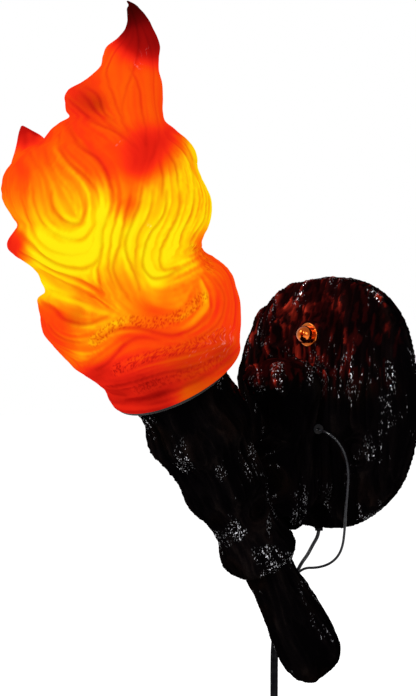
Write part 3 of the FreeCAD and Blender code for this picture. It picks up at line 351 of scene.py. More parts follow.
def bark_finish(name, turn):
    """Black bark with a brown cast, painted glints in bright specks, and the flame's light painted as a glow
    on the side facing it.
    """
    finish = Finish(name)
    height = finish.attribute("crest")
    fibres = finish.grain(260, 5, (1, 1, 0.14), turn)
    deep = finish.ramp(height, (0.1, (0.0004, 0.0003, 0.0004)), (0.6, (0.001, 0.0007, 0.0008)),
                       (0.95, (0.0024, 0.0017, 0.0016)))
    warm = finish.ramp(height, (0.1, (0.0006, 0.0004, 0.0003)), (0.95, (0.003, 0.0014, 0.001)))
    base = finish.mix(finish.span(finish.grain(26, 3), 0, 0.7, 0.5, 0.68), deep, warm)
    # Painted glints: in small clusters of specks on the crests the bark turns to pale metal that mirrors the
    # lamps and the white surroundings.
    specks = finish.span(finish.grain(820, 1.5, (1, 1, 0.5), turn), 0, 1, 0.61, 0.66)
    clusters = finish.span(finish.grain(34, 2, (1, 1, 0.6), turn), 0, 1, 0.52, 0.6)
    painted_glints = finish.product(finish.product(specks, clusters), finish.span(height, 0, 1, 0.35, 0.6))
    # Painted glow: the flame's light on the bark, given as emission in red and orange.
    painted_flame_glow = finish.ramp(finish.attribute("painted_flame_glow"), (0.0, (0, 0, 0)), (0.3, (0.02, 0.0008, 0.0006)),
                        (0.7, (0.14, 0.007, 0.003)), (1.0, (0.46, 0.03, 0.012)))
    finish.set({"Base Color": finish.mix(painted_glints, base, (0.32, 0.32, 0.34, 1)), "Metallic": painted_glints,
                "Specular IOR Level": finish.span(painted_glints, 0.0, 0.5, 0, 1),
                "Roughness": finish.span(fibres, 0.12, 0.3),
                "Emission Color": painted_flame_glow, "Emission Strength": 1.0})
    finish.bump(fibres, 0.55, 0.0012)
    finish.bump(finish.grain(900, 2), 0.35, FINE_RELIEF)
    return finish.material


# The flame's colours from 0 to 255 along its heat.
FLAME_STOPS = (
    (0, (58, 3, 2)), (0.1, (98, 4, 5)), (0.2, (142, 10, 9)), (0.3, (190, 18, 12)), (0.38, (232, 34, 18)),
    (0.44, (248, 46, 18)), (0.5, (250, 64, 12)), (0.6, (251, 92, 8)), (0.7, (254, 122, 8)),
    (0.78, (255, 150, 9)), (0.86, (255, 182, 9)), (0.93, (255, 208, 8)), (1, (255, 230, 14)))
SKIN_SHARE = 0.04


def flame_finish():
    """Painted resin lit from inside: dark red tips, orange folds and a yellow heart."""
    finish = Finish("flame_resin")
    heat = finish.attribute("warmth")
    stops = [(position, linear(*colour)) for position, colour in FLAME_STOPS]
    skin = [(position, [SKIN_SHARE * part for part in colour]) for position, colour in stops]
    mottle = finish.grain(420, 3)
    # The glow is turned down by the painted shade in creases and hollows and by the rough bands; gloss is
    # raised only at the painted highlight spots.
    finish.set({"Base Color": finish.ramp(heat, *skin), "Emission Color": finish.ramp(heat, *stops),
                "Emission Strength": finish.span(finish.attribute("painted_shade_and_texture"), 0.94, 0.0, 0.0, 1.0),
                "Specular IOR Level": finish.span(finish.attribute("painted_highlight_gloss"), 0.0, 1.0, 0.0, 1.0),
                "Roughness": finish.span(mottle, 0.2, 0.42)})
    finish.bump(mottle, 0.12, 0.0005)
    return finish.material


# ---- the flame -------------------------------------------------------------------
# Rings up the bent spine: y, z, reach to the seen left and right and half depth in millimetres, and lean in
# degrees.
FOOT_RINGS = (
    (-187.8, 26.5, 51.8, 57.5, 54, 34), (-190.6, 30.6, 52.3, 59.2, 54.5, 34),
    (-192.8, 34, 52.6, 61.2, 54.8, 34))
FLAME_RINGS = (
    (-200.6, 45.5, 55.8, 68, 57.2, 34), (-204.3, 52, 61, 70, 61.7, 33.6), (-208, 59, 65.2, 71.5, 65.6, 33),
    (-212.4, 67, 68.8, 72, 67.6, 32.4), (-216.8, 75, 71.2, 72.2, 67.7, 31.9),
    (-222, 84, 73.8, 70, 67.3, 31), (-226.9, 92, 75, 65.5, 67, 30), (-232.6, 101, 72.8, 60, 66.2, 28.7),
    (-238, 110, 64.2, 63.5, 65.6, 27), (-242.7, 118, 62.2, 70.5, 65.2, 25),
    (-247.2, 126, 63.2, 75.2, 65, 22.6), (-251, 134, 72, 77.8, 65.1, 20),
    (-253.9, 142, 76.6, 78.5, 66, 17.1), (-255.9, 149, 70, 78.2, 67, 14.5),
    (-257.5, 156, 70.5, 77.5, 67.3, 12), (-258.8, 163, 74, 76.2, 66.9, 9.9),
    (-259.7, 170, 75.5, 74.2, 65.8, 7.9), (-260.5, 177, 74, 72.5, 63.8, 6),
    (-261.9, 185, 68.8, 72.2, 60.5, 4.3), (-262, 193, 59.5, 70.2, 55.4, 2),
    (-258.8, 200, 48.5, 65.8, 48, -1.7), (-254, 208, 41.5, 58.5, 39.6, -6),
    (-250.5, 215, 36, 48.5, 35.8, -8.2), (-247.5, 222, 37, 39.5, 33.4, -10),
    (-245.7, 230, 38.5, 35.2, 31.9, -12.1), (-244, 238, 32.5, 34.2, 30.4, -14),
    (-240.8, 246, 24.6, 31.8, 27, -16.1), (-236.5, 255, 19.8, 27.8, 22.9, -18),
    (-233, 262.5, 20.5, 23.2, 20.2, -18.6), (-229.5, 270, 20.2, 20.8, 17.6, -18),
    (-226.1, 277, 17, 18.5, 14.6, -15.9), (-223.5, 284, 13.2, 15, 11.4, -12),
    (-222.5, 290, 10.8, 11, 9, -7.1), (-223, 296, 9, 8, 6.6, 0), (-229.5, 306.5, 2.6, 2.5, 1.9, 20),
    (-234.6, 309, 0.7, 0.7, 0.6, 35))
# The wall in metres, the last ring that has an inner wall, and the columns round the flame.
SHADE_WALL = 0.006
INNER_RINGS = 24
FLAME_COLUMNS = 460

# The outline as seen, from top to bottom: pixels down, then pixels across to the left or right edge.
LEFT_EDGE = (
    3, 127, 12, 127, 22, 127, 30, 124, 37, 118, 46, 107, 55, 103, 66, 100, 74, 92, 82, 81, 88, 70, 95, 65,
    103, 65, 111, 66, 117, 68, 122, 60, 128, 52, 134, 47, 140, 42, 150, 24, 158, 16, 166, 9, 174, 4, 184, 2,
    194, 2, 202, 4, 210, 8, 218, 13, 225, 17, 231, 14, 238, 9, 244, 7, 249, 8, 256, 15, 262, 24, 267, 31,
    273, 37, 282, 41, 292, 44, 298, 38, 306, 38, 316, 40, 325, 41, 335, 44, 345, 52, 356, 62, 364, 70,
    370, 76, 376, 85, 384, 97, 392, 106, 400, 113, 406, 119, 411, 128)
RIGHT_EDGE = (
    3, 134, 12, 143, 20, 149, 28, 153, 36, 157, 46, 160, 58, 159, 70, 159, 82, 162, 98, 163, 112, 163,
    120, 165, 130, 176, 138, 186, 146, 193, 156, 197, 168, 198, 178, 202, 188, 207, 198, 211, 208, 212,
    218, 211, 228, 208, 236, 204, 244, 202, 250, 204, 258, 216, 266, 226, 274, 232, 286, 236, 300, 240,
    314, 241, 326, 241, 338, 240, 346, 241, 356, 238, 362, 234, 370, 226, 380, 214, 390, 200, 398, 183,
    404, 165, 408, 149, 411, 134)
FLAME_DOWN_PX = 420

# Pixels down in the view: where the outline starts to be fitted, and where the fine and wide strands grow.
FIT_FROM_PX = (4, 13)
FINE_FROM_PX = (60, 185)
WIDE_FROM_PX = (60, 160)

# Creases of the folds as seen: the depth of each, then x and y of its points in pixels.
CREASES = (
    (0.3, 129, 4, 135, 21, 139, 42, 135, 67, 126, 90, 122, 112, 126, 126, 133, 139),
    (0.3, 140, 21, 149, 42, 153, 63, 154, 91, 157, 119, 159, 140, 152, 161, 143, 181),
    (0.5, 130, 67, 136, 79, 140, 95, 142, 112, 146, 129, 147, 145),
    (0.4, 123, 42, 112, 56, 107, 73, 112, 91, 119, 112, 130, 135, 140, 150),
    (0.9, 67, 97, 79, 109, 98, 123, 119, 133, 135, 146),
    (0.6, 79, 90, 90, 104, 107, 121, 126, 135),
    (0.8, 84, 84, 98, 96, 104, 112, 118, 124),
    (1, 69, 121, 73, 133, 83, 147, 97, 157, 107, 173, 112, 188, 114, 203),
    (0.7, 60, 133, 62, 151, 73, 166, 87, 177, 98, 194, 101, 209),
    (0.5, 46, 140, 46, 155, 56, 175, 70, 192, 79, 208),
    (0.4, 22, 128, 27, 142, 31, 154, 39, 168, 46, 182, 49, 198),
    (0.3, 20, 132, 17, 147, 10, 166, 6, 182, 7, 200, 14, 219),
    (0.9, 51, 190, 54, 206, 67, 220, 80, 224, 86, 214, 86, 198),
    (0.7, 32, 188, 37, 208, 53, 230, 69, 238, 86, 238, 95, 226, 97, 206),
    (1, 8, 206, 16, 227, 32, 244, 48, 259, 72, 268, 89, 268, 99, 260, 101, 246, 102, 222),
    (0.5, 22, 200, 30, 222, 48, 248, 72, 255, 92, 252),
    (0.8, 112, 190, 112, 206, 105, 225, 102, 254, 99, 273, 102, 292, 115, 305),
    (0.8, 123, 200, 118, 215, 112, 238, 110, 260, 112, 279, 118, 294),
    (0.9, 132, 196, 126, 222, 120, 246, 115, 266, 120, 286, 131, 302),
    (1, 143, 186, 140, 206, 132, 227, 126, 250, 134, 266, 143, 292),
    (0.7, 153, 190, 150, 214, 139, 238, 137, 257, 142, 279),
    (1, 166, 190, 163, 214, 153, 231, 145, 251, 146, 267, 154, 278, 168, 277, 183, 269, 196, 262),
    (0.8, 180, 190, 177, 214, 169, 235, 161, 254, 167, 270, 181, 266),
    (0.7, 194, 190, 191, 214, 183, 230, 180, 250),
    (0.6, 207, 198, 205, 219, 195, 235, 188, 252),
    (0.6, 167, 137, 181, 147, 192, 166, 196, 187),
    (0.8, 168, 151, 177, 168, 178, 189),
    (0.7, 161, 160, 164, 181, 161, 198),
    (0.5, 166, 126, 185, 142, 196, 163, 207, 187),
    (0.9, 10, 248, 32, 258, 56, 272, 80, 281, 102, 294),
    (0.6, 38, 268, 56, 279, 77, 290, 99, 302, 112, 313),
    (0.5, 46, 288, 61, 294, 80, 302, 99, 311),
    (1, 40, 302, 53, 310, 67, 321, 86, 325, 100, 320, 112, 314),
    (0.6, 43, 318, 56, 333, 77, 343, 91, 341),
    (0.9, 90, 344, 104, 336, 121, 329, 140, 328, 158, 333, 176, 335, 194, 328, 206, 314),
    (0.5, 207, 254, 226, 270, 234, 292, 236, 318, 230, 336),
    (0.6, 214, 279, 223, 297, 221, 318, 207, 333, 183, 343),
    (0.5, 209, 296, 211, 312, 200, 326),
    (0.9, 96, 372, 110, 362, 122, 346, 138, 338, 160, 340),
    (0.5, 112, 376, 136, 368, 158, 361, 180, 356, 206, 350, 224, 345),
    (0.4, 54, 340, 72, 362, 92, 377),
    (0.6, 112, 388, 136, 384, 164, 376, 196, 368, 222, 356),
    (0.7, 122, 401, 143, 400, 174, 391, 206, 376, 234, 358))

# Rough bands as seen: half width and strength, then x and y of their points in pixels.
BANDS = (
    (6, 1, 92, 342, 110, 329, 128, 321, 150, 323, 170, 320, 190, 308, 202, 298),
    (6.5, 0.8, 118, 370, 136, 362, 159, 354, 182, 349, 204, 341, 221, 333),
    (4.5, 0.8, 194, 248, 206, 257, 212, 270),
    (5, 0.4, 138, 391, 165, 383, 196, 373, 219, 361))

# Swells and dips as seen: x, y and half width in pixels, and height in millimetres.
SWELLS = (
    (60, 222, 26, 4.5), (175, 212, 28, 3.5), (126, 214, 11, -2.6), (146, 158, 14, -3.2), (90, 101, 10, -2),
    (74, 104, 10, 1.6), (218, 286, 20, 3.6), (152, 300, 18, -3.6), (75, 313, 8, -2.6), (91, 303, 6, -1.8),
    (140, 322, 16, 1.8), (190, 312, 14, 2.2), (160, 352, 22, 1.8), (170, 369, 24, -1.6), (60, 340, 16, 2),
    (130, 90, 14, 1.8), (150, 70, 10, 1), (40, 300, 9, 1.5))

# Broad regions of the paint: x, y and half width in pixels, and heat, 0 dark red to 1 yellow.
HEATS = (
    (134, 6, 14, 0), (146, 40, 16, 0.2), (130, 90, 26, 0.55), (85, 100, 16, 0.45),    # tip, neck, side tongue
    (24, 134, 12, 0.3), (30, 165, 18, 0.55), (95, 150, 22, 0.5), (148, 156, 18, 0.35),    # horn, hollow
    (60, 195, 26, 0.75), (80, 232, 30, 1), (180, 195, 26, 0.9), (155, 245, 30, 1),    # the yellow pools
    (128, 205, 9, 0.5), (10, 246, 10, 0.4), (208, 250, 12, 0.5), (62, 284, 16, 0.9),    # strand, hook, notch
    (110, 300, 26, 0.75), (190, 295, 20, 0.7), (228, 300, 18, 0.5), (48, 325, 14, 0.5),    # lower folds
    (100, 330, 16, 0.75), (150, 345, 26, 0.5), (210, 345, 20, 0.5),    # above the rim
    (140, 385, 24, 0.35), (190, 398, 8, 0.6))    # foot and rim

# Painted shade in hollows, and spots raised in gloss for painted highlights, as seen: x, y and half width in
# pixels, and for the hollows how dark they are.
SHADED_HOLLOWS = (
    (84, 99, 14, 0.3), (97, 104, 10, 0.3), (75, 318, 10, 0.2), (100, 372, 12, 0.15), (196, 374, 30, 0.42),
    (226, 354, 16, 0.36), (156, 394, 26, 0.36), (118, 394, 12, 0.22))
GLINT_SPOTS = (
    (151, 228, 3), (218, 344, 9), (228, 334, 6), (198, 356, 6), (145, 51, 4), (137, 65, 4), (118, 143, 3))

# Strands round the flame: their height as a share, the half depth in millimetres from which it is whole, and
# their turn from ring to ring.
STRANDS = 5
STRAND_LOBE = 0.055
STRAND_FULL_DEPTH = 53
STRAND_TURN = 0.06

# Steps along seen lines in pixels, the creases' pull on the flow in millimetres, and how wide patches spread.
CREASE_STEP_PX = 0.9
BAND_STEP_PX = 2.0
FLOW_REACH = 6.5
HEAT_SPREAD = 0.68
HEAT_TAIL = 1e-3
HILL_SPREAD = 0.9


def spine_rows(step):
    """The flame's rings closely spaced along its spine, in millimetres."""
    rings = np.array(FOOT_RINGS + FLAME_RINGS, float)
    knots = reach_along(rings[:, :2])
    at = np.linspace(0, knots[-1], int(knots[-1] / step) + 1)
    table = refined(rings, knots, at)
    number = np.interp(at, knots, np.arange(len(rings)) - len(FOOT_RINGS))
    lobe = STRAND_LOBE * np.minimum(1, table[:, 4] / STRAND_FULL_DEPTH) * smooth_step(-1, 3, number)
    return table, number, lobe


def ring_points(table, number, lobe, angles):
    """Points round each ring, in metres, where angle 0 is the seen right side."""
    y, z, left, right, deep, lean = (table[:, k:k + 1] for k in range(6))
    lean = np.radians(lean)
    broad = np.where(np.cos(angles) > 0, right, left)
    plain = broad * deep / np.hypot(deep * np.cos(angles), broad * np.sin(angles))
    whole = angles + math.pi / 4
    strand = np.cos(STRANDS * (whole - STRAND_TURN * number[:, None])) * np.sin(angles) ** 2
    radius = plain * (1 + lobe[:, None] * strand)
    side = radius * np.cos(whole)
    up = radius * np.sin(whole)
    return np.stack([side, y + up * np.cos(lean), z + up * np.sin(lean)], axis=-1) / 1000


def wanted_edge(edge, down):
    """The wanted left or right edge, in pixels across, at each height in pixels."""
    height, across = np.reshape(edge, (-1, 2)).T.astype(float)
    return smooth_table(height, across, np.clip(down, height[0], height[-1]))


def present_edges(across, down):
    """The mesh's own left and right edge at each height in pixels, smoothed a little."""
    bins = np.arange(FLAME_DOWN_PX + 1)
    index = np.clip(np.round(down).astype(int), 0, FLAME_DOWN_PX).ravel()
    edges = []
    for start, keep in ((np.inf, np.minimum), (-np.inf, np.maximum)):
        edge = np.full(len(bins), start)
        keep.at(edge, index, across.ravel())
        known = np.isfinite(edge)
        edges.append(np.interp(down, bins, evened(np.interp(bins, bins[known], edge[known]), 2)))
    return edges


def fit_outline(points, rows_free, rounds=3):
    """Moves the sides across the view until the outline is the wanted one, with the foot held."""
    for _ in range(rounds):
        across, down = seen_at(points)
        left, right = present_edges(across, down)
        share = smooth_step(0, 1, (across - left) / np.maximum(right - left, 1e-3))
        left_move = wanted_edge(LEFT_EDGE, down) - left
        right_move = wanted_edge(RIGHT_EDGE, down) - right
        move = soften(left_move * (1 - share) + right_move * share, 2)
        move = move * smooth_step(*FIT_FROM_PX, down) * rows_free
        depth = (points - EYE) @ AWAY
        points = points + (move * depth / PIXEL_FOCAL)[..., None] * RIGHT
    return points


def grid_normals(points):
    """Outward normals of a tube of points."""
    along = np.gradient(points, axis=0)
    across = (np.roll(points, -1, axis=1) - np.roll(points, 1, axis=1)) / 2
    normal = np.cross(across, along)
    return normal / np.maximum(np.linalg.norm(normal, axis=-1, keepdims=True), 1e-12)


def on_grid(path, tree, cols):
    """The row and column under each point of a seen path, evened out along it."""
    places = np.array([divmod(tree.find((x, y, 0))[1], cols) for x, y in path], float)
    places[:, 1] = np.unwrap(places[:, 1], period=cols)
    return np.stack([evened(column, 3) for column in places.T], axis=1)


def read_grid(field, places):
    """The field between the grid's own points."""
    row = np.clip(places[:, 0], 0, field.shape[0] - 1.001)
    low = np.floor(row).astype(int)
    first = np.floor(places[:, 1]).astype(int)
    down = (row - low)[:, None]
    over = (places[:, 1] - first)[:, None]
    cols = field.shape[1]
    near, far = first % cols, (first + 1) % cols
    return ((1 - down) * ((1 - over) * field[low, near] + over * field[low, far])
            + down * ((1 - over) * field[low + 1, near] + over * field[low + 1, far]))


def crease_samples(points, across, down, angles, row_mm, col_mm):
    """Places, directions and depths along every crease, on the side in view and on the far side."""
    cols = points.shape[1]
    seen = np.stack([across, down, np.zeros(across.shape)], axis=-1).reshape(-1, 3)
    samples, tangents, depths = [], [], []
    for side in (1, -1):
        facing = np.flatnonzero(np.broadcast_to(side * np.sin(angles) < 0.15, across.shape))
        tree = tree_of(seen[facing], facing)
        for depth, *line in CREASES:
            places = on_grid(smooth_path(line, CREASE_STEP_PX), tree, cols)
            way = np.gradient(places, axis=0) * (row_mm, 1)
            way[:, 1] *= col_mm[np.clip(np.round(places[:, 0]).astype(int), 0, len(col_mm) - 1), 0]
            way = way[:, ::-1] / np.maximum(np.linalg.norm(way, axis=1, keepdims=True), 1e-6)
            samples.append(read_grid(points, places) * 1000)
            tangents.append(way)
            depths.append(depth * np.sin(np.linspace(0.06, 0.97, len(way)) * math.pi) ** 0.6)
    return np.concatenate(samples), np.concatenate(tangents), np.concatenate(depths)


def smear(layer, along, across, reach):
    """Averages a layer along the lines of flow over the grid."""
    rows, cols = along.shape
    total = layer.copy()
    for way in (1, -1):
        row, col = np.mgrid[0:rows, 0:cols].astype(float)
        step_row, step_col = way * along, way * across
        for _ in range(reach):
            row = np.clip(row + step_row, 0, rows - 1)
            col = (col + step_col) % cols
            near = (np.round(row).astype(int), np.round(col).astype(int) % cols)
            sign = np.where(along[near] * step_row + across[near] * step_col < 0, -1.0, 1.0)
            step_row, step_col = sign * along[near], sign * across[near]
            total += layer[near]
    return total / (2 * reach + 1)


def soften(field, times=1):
    """A small blur over the grid, closed across its columns."""
    for _ in range(times):
        field = (np.roll(field, 1, axis=1) + 2 * field + np.roll(field, -1, axis=1)) / 4
        padded = np.pad(field, ((1, 1), (0, 0)), mode="edge")
        field = (padded[:-2] + 2 * padded[1:-1] + padded[2:]) / 4
    return field


def products(way):
    """The squares and the product of a direction's two numbers."""
    return np.stack([way[:, 0] ** 2, way[:, 0] * way[:, 1], way[:, 1] ** 2], axis=1)


def flow_field(samples, tangents, points, row_mm, col_mm):
    """The direction of the folds over the grid, from the creases and a slow drift where there are none."""
    skip = 5
    batch = 200
    some = points[::skip, ::skip] * 1000
    flat = some.reshape(-1, 3)
    drift = math.pi / 2 + 0.5 * noise(flat / 40, 71)
    total = 0.01 * products(np.stack([np.cos(drift), np.sin(drift)], axis=1))
    for start in range(0, len(samples), batch):
        apart = ((flat[:, None] - samples[None, start:start + batch]) ** 2).sum(axis=2)
        total += np.exp(-apart / (2 * FLOW_REACH ** 2)) @ products(tangents[start:start + batch])
    rows, cols = points.shape[:2]
    whole = []
    for part in total.T:
        coarse = part.reshape(some.shape[:2])
        coarse = np.concatenate([coarse, coarse[:, :1]], axis=1)
        for count in (cols, rows):
            coarse = np.stack([np.interp(np.arange(count), np.arange(len(line)) * skip, line)
                               for line in coarse]).T
        whole.append(coarse)
    angle = 0.5 * np.arctan2(2 * whole[1], whole[0] - whole[2])
    return np.sin(angle) / row_mm, np.cos(angle) / col_mm


def square_apart(across, down, x, y):
    return (across - x) ** 2 + (down - y) ** 2


def hills(across, down, spots):
    """Soft round hills at the spots, as seen, added up."""
    total = np.zeros(across.shape)
    for x, y, half, rise in spots:
        total += rise * np.exp(-square_apart(across, down, x, y) / (HILL_SPREAD * half ** 2))
    return total


def painted_heat(across, down):
    """The heat at each place as seen, blended from the set points."""
    total = np.zeros(across.shape)
    weight = np.zeros(across.shape)
    for x, y, half, heat in HEATS:
        apart = square_apart(across, down, x, y)
        near = np.exp(-apart / (2 * (HEAT_SPREAD * half) ** 2)) + HEAT_TAIL / (1 + apart / 100) ** 3
        total += near * heat
        weight += near
    return total / weight


def make_flame():
    """The folded skin as a grid of points, its paint with painted shade and highlights, and the smooth inner
    wall.
    """
    step = 1.0 * COARSE
    cols = int(FLAME_COLUMNS / COARSE)
    table, number, lobe = spine_rows(step)
    angles = once_round(cols)[None, :]
    up = np.arange(len(number))[:, None] * step
    rows_free = smooth_step(6, 26, up)
    points = fit_outline(ring_points(table, number, lobe, angles), rows_free)
    wall = points - grid_normals(points) * SHADE_WALL
    across, down = seen_at(points)
    col_mm = np.linalg.norm(np.roll(points, -1, axis=1) - points, axis=-1).mean(axis=1) * 1000
    col_mm = np.maximum(col_mm, 0.08)[:, None]
    samples, tangents, depths = crease_samples(points, across, down, angles, step, col_mm)
    along, sideways = flow_field(samples, tangents, points, step, col_mm)

    flat = points * 1000
    heat = smear(painted_heat(across, down), along, sideways, int(7 / COARSE))
    fine = smear(noise(flat / 1.6, 11), along, sideways, int(24 / COARSE))
    wide = smear(noise(flat / 4.0, 12), along, sideways, int(40 / COARSE))
    lively = 0.35 + 0.65 * smooth_step(-0.35, 0.25, noise(flat / 26, 41))
    lively = lively * (0.35 + 0.65 * smooth_step(*FINE_FROM_PX, down))
    fine = lively * np.tanh(soften(fine / fine.std()) * 0.9)
    wide = np.tanh(soften(wide / wide.std(), 3) * 0.8) * (0.4 + 0.6 * smooth_step(*WIDE_FROM_PX, down))

    tree = tree_of(samples, range(len(samples)))
    near = [tree.find(place) for place in flat.reshape(-1, 3)]
    apart = np.array([found[2] for found in near]).reshape(across.shape)
    depth = depths[[found[1] for found in near]].reshape(across.shape)
    groove = soften(depth * np.exp(-(apart / 1.0) ** 2))
    lips = soften(depth * np.exp(-((apart - 2.8) / 1.5) ** 2), 2)

    rough = np.zeros(across.shape)
    for half, strength, *line in BANDS:
        path = smooth_path(line, BAND_STEP_PX)
        least = np.min([square_apart(across, down, x, y) for x, y in path], axis=0)
        rough = np.maximum(rough, strength * (1 - smooth_step(half * 0.6, half * 1.25, np.sqrt(least))))
    worms = np.clip(1 - 3.2 * np.abs(noise(flat / 1.9, 31) + 0.35 * noise(flat / 0.9, 32)), 0, 1)

    free = smooth_step(4, 16, up) * smooth_step(1.5, 30, table[:, 4:5])
    height = hills(across, down, SWELLS) + 0.7 * wide + 0.4 * fine
    height = height + 0.6 * lips - 1.5 * groove - 0.6 * rough * worms
    points = points + grid_normals(points) * ((soften(height) - 0.6) * free)[..., None] / 1000
    points = fit_outline(points, rows_free)

    streak = smooth_step(0.3, 0.75, heat)
    heat = heat + (0.035 + 0.065 * streak) * fine + (0.015 + 0.06 * streak) * wide
    # Redder in the creases, partly where paint gathers and partly painted shade; a painted highlight makes
    # their lips yellower.
    heat = heat - groove * (0.06 + 0.1 * streak) + 0.05 * lips * streak + rough * (0.06 - 0.14 * worms)
    # Painted shade in the creases and hollows, and darker texture in the rough bands, which turn the glow
    # down.
    shade_and_texture_dim = 0.32 * groove + 0.34 * rough * worms + hills(across, down, SHADED_HOLLOWS)
    # Painted highlights: the gloss is raised in thin patches at the spots, so that the lamps and the white
    # surroundings show only there.
    glint_gloss = np.max([np.exp(-square_apart(across, down, x, y) / half ** 2) for x, y, half in GLINT_SPOTS], axis=0)
    glint_gloss = glint_gloss * smooth_step(0.9, 0.97, 1 - 1.6 * np.abs(noise(flat / 4.2, 43)))
    inside = np.flatnonzero(number <= INNER_RINGS)[::4]
    paint = {"warmth": np.clip(heat, 0, 1), "painted_shade_and_texture": np.clip(shade_and_texture_dim, 0, 0.8), "painted_highlight_gloss": glint_gloss}
    return points, paint, wall[inside]


def shade_mesh():
    """The whole hollow flame: its folded skin, the inner wall, the rim and the side tongue."""
    outer, paint, inner = make_flame()
    horn, horn_heat = horn_grid()
    rows, cols = outer.shape[:2]
    peak = outer[-1].mean(axis=0) + (0, -0.0002, 0.0003)
    parts = ((outer, paint["warmth"]), (peak, 0.0), (inner, 0.8), (inner[-1].mean(axis=0), 0.8),
             (horn, horn_heat), (horn[-1].mean(axis=0), 0.22))
    points = np.concatenate([part.reshape(-1, 3) for part, _ in parts])
    top = rows * cols
    first = top + 1
    crown = first + len(inner) * cols
    tip = len(points) - 1
    faces = grid_faces(rows, cols) + fan_faces(top - cols, cols, top)
    faces += grid_faces(len(inner), cols, first, flip=True) + fan_faces(crown - cols, cols, crown, flip=True)
    faces += [[k, first + k, first + (k + 1) % cols, (k + 1) % cols] for k in range(cols)]
    faces += grid_faces(*horn.shape[:2], crown + 1) + fan_faces(tip - horn.shape[1], horn.shape[1], tip)
    mesh = mesh_of("flame_shade_visual", points, faces)
    heats = [np.broadcast_to(heat, part.shape[:-1]).ravel() for part, heat in parts]
    tag(mesh, "warmth", np.concatenate(heats))
    for name in ("painted_shade_and_texture", "painted_highlight_gloss"):
        values = np.zeros(len(points))
        values[:top] = paint[name].ravel()
        tag(mesh, name, values)
    return mesh


# The side tongue: x, y, z and radius in millimetres.
HORN_RINGS = (
    (-32, -298, 168, 17.5), (-32, -298, 179.5, 19), (-32.3, -298.3, 188.4, 17), (-33.5, -299.5, 196, 12.8),
    (-35, -301, 202, 9.3), (-37, -302.5, 206.3, 6.1), (-38.5, -303.5, 209.3, 3.5),
    (-39.5, -304.5, 212, 0.8))


HORN_ROWS = 100
HORN_COLUMNS = 120


def horn_grid():
    """The side tongue as a grid of points, and its heat."""
    rings = np.array(HORN_RINGS, float)
    knots = reach_along(rings[:, :3])
    at = np.linspace(0, knots[-1], int(HORN_ROWS / COARSE))
    x, y, z, radius = (column[:, None] for column in refined(rings, knots, at).T)
    angles = once_round(int(HORN_COLUMNS / COARSE))[None, :]
    round_it = radius * (1 + 0.05 * np.cos(3 * angles + 0.02 * at[:, None]))
    points = np.stack([x + round_it * np.cos(angles), y + round_it * np.sin(angles) * 0.94,
                       z + round_it * np.sin(angles) * 0.34], axis=-1)
    folds = noise(points / (5, 5, 40), 51)
    points = points + grid_normals(points) * (0.5 * folds * smooth_step(1, 12, radius))[..., None]
    heat = painted_heat(*seen_at(points / 1000)) + 0.05 * folds
    return points / 1000, np.clip(heat, 0, 1)


# ---- bark ------------------------------------------------------------------------
TORCH_PLACE = np.array((0.0, -0.1868, 0.025))
TORCH_LEAN = math.radians(34)
# Where the painted glow of the flame's light comes from, and how far it reaches in metres.
FLAME_HEART = (-0.01, -0.15, 0.14)
PAINTED_GLOW_REACH = 0.15


def leaned(y, z):
    """The two numbers turned into the torch's own frame."""
    cosine, sine = math.cos(TORCH_LEAN), math.sin(TORCH_LEAN)
    return y * cosine + z * sine, z * cosine - y * sine


def in_torch(points):
    """Points in the torch's own frame, with its axis as the third number."""
    apart = points - TORCH_PLACE
    return np.stack([apart[:, 0], *leaned(apart[:, 1], apart[:, 2])], axis=1)


def remeshed(node, voxel):
    """A copy of a node's mesh with even small faces."""
    source = add_object(node + "_copy", NODES[node].data.copy())
    change = source.modifiers.new("even", "REMESH")
    change.mode = "VOXEL"
    change.voxel_size = voxel
    mesh = baked(source)
    mesh.name = node + "_visual"
    mesh.shade_smooth()
    return mesh


def bark_height(grain, points, seed, whorls):
    """Furrowed bark from 0 in the furrows to 1 on the crests; grain has the fibres along its third axis."""
    mm = grain * 1000
    bend = np.stack([noise(mm / (34, 34, 60), seed + k) for k in range(3)], axis=1)
    bent = mm + bend * (7.0, 7.0, 12.0)
    for place, size in whorls:
        distance = np.linalg.norm(points * 1000 - place, axis=1)
        pull = np.exp(-(distance / size) ** 2)[:, None]
        ringed = np.stack([distance, distance * 0.3, bent[:, 2] * 0.25], axis=1)
        bent = bent * (1 - pull) + ringed * pull
    large = crests(bent / (13.0, 13.0, 85.0), seed + 10)
    small = crests(bent / (4.6, 4.6, 34.0), seed + 20)
    return np.clip(0.62 * large + 0.38 * small, 0, 1)


def painted_glow_from_flame(points, normals):
    """The flame's light painted on a surface as a glow, stronger near it and where the surface faces it."""
    toward = np.array(FLAME_HEART) - points
    distance = np.linalg.norm(toward, axis=1)
    facing = np.clip((normals * toward).sum(axis=1) / distance, 0, 1)
    patches = 0.12 + 2.3 * smooth_step(0.05, 0.5, noise(points * 1000 / (3, 3, 9), 77))
    above = smooth_step(-0.005, 0.04, points[:, 2])
    return np.clip(2.1 * facing * above * patches * (PAINTED_GLOW_REACH / distance) ** 8, 0, 1)


# Where the bark bulges or draws in: place, half width and shift in millimetres.
BULGES = {
    "back_plate": (((-93, -14, 34), 32, (-5, 0, 0)), ((90, -8, -52), 46, (-4.5, 0, 0)),
                   ((94, -8, 32), 42, (-3.5, 0, 0)), ((58, -8, -92), 40, (-3, 0, 5))),
    "arm": (((-18, -84, 8), 20, (-2, -5, 10)),),
    "torch_body": (((30, -150, 16), 12, (2, 4, 1)),),
    "handle": (((26, -26, -198), 24, (3.6, 3.6, -3)), ((6, -32, -226), 24, (0, 0, -6.5)))}


def bulged(node, points):
    """The node's points shifted as a whole near each bulge."""
    moved = points.copy()
    for place, half, shift in BULGES[node]:
        apart = np.linalg.norm(points * 1000 - place, axis=1)
        moved += np.exp(-(apart / half) ** 2)[:, None] * shift / 1000
    return moved


# The crest height that stays on the solid's own surface, and the widths of lumps and pits in millimetres.
CREST_LEVEL = 0.78
LUMP_SIZE = 19
PIT_SIZE = 2.3


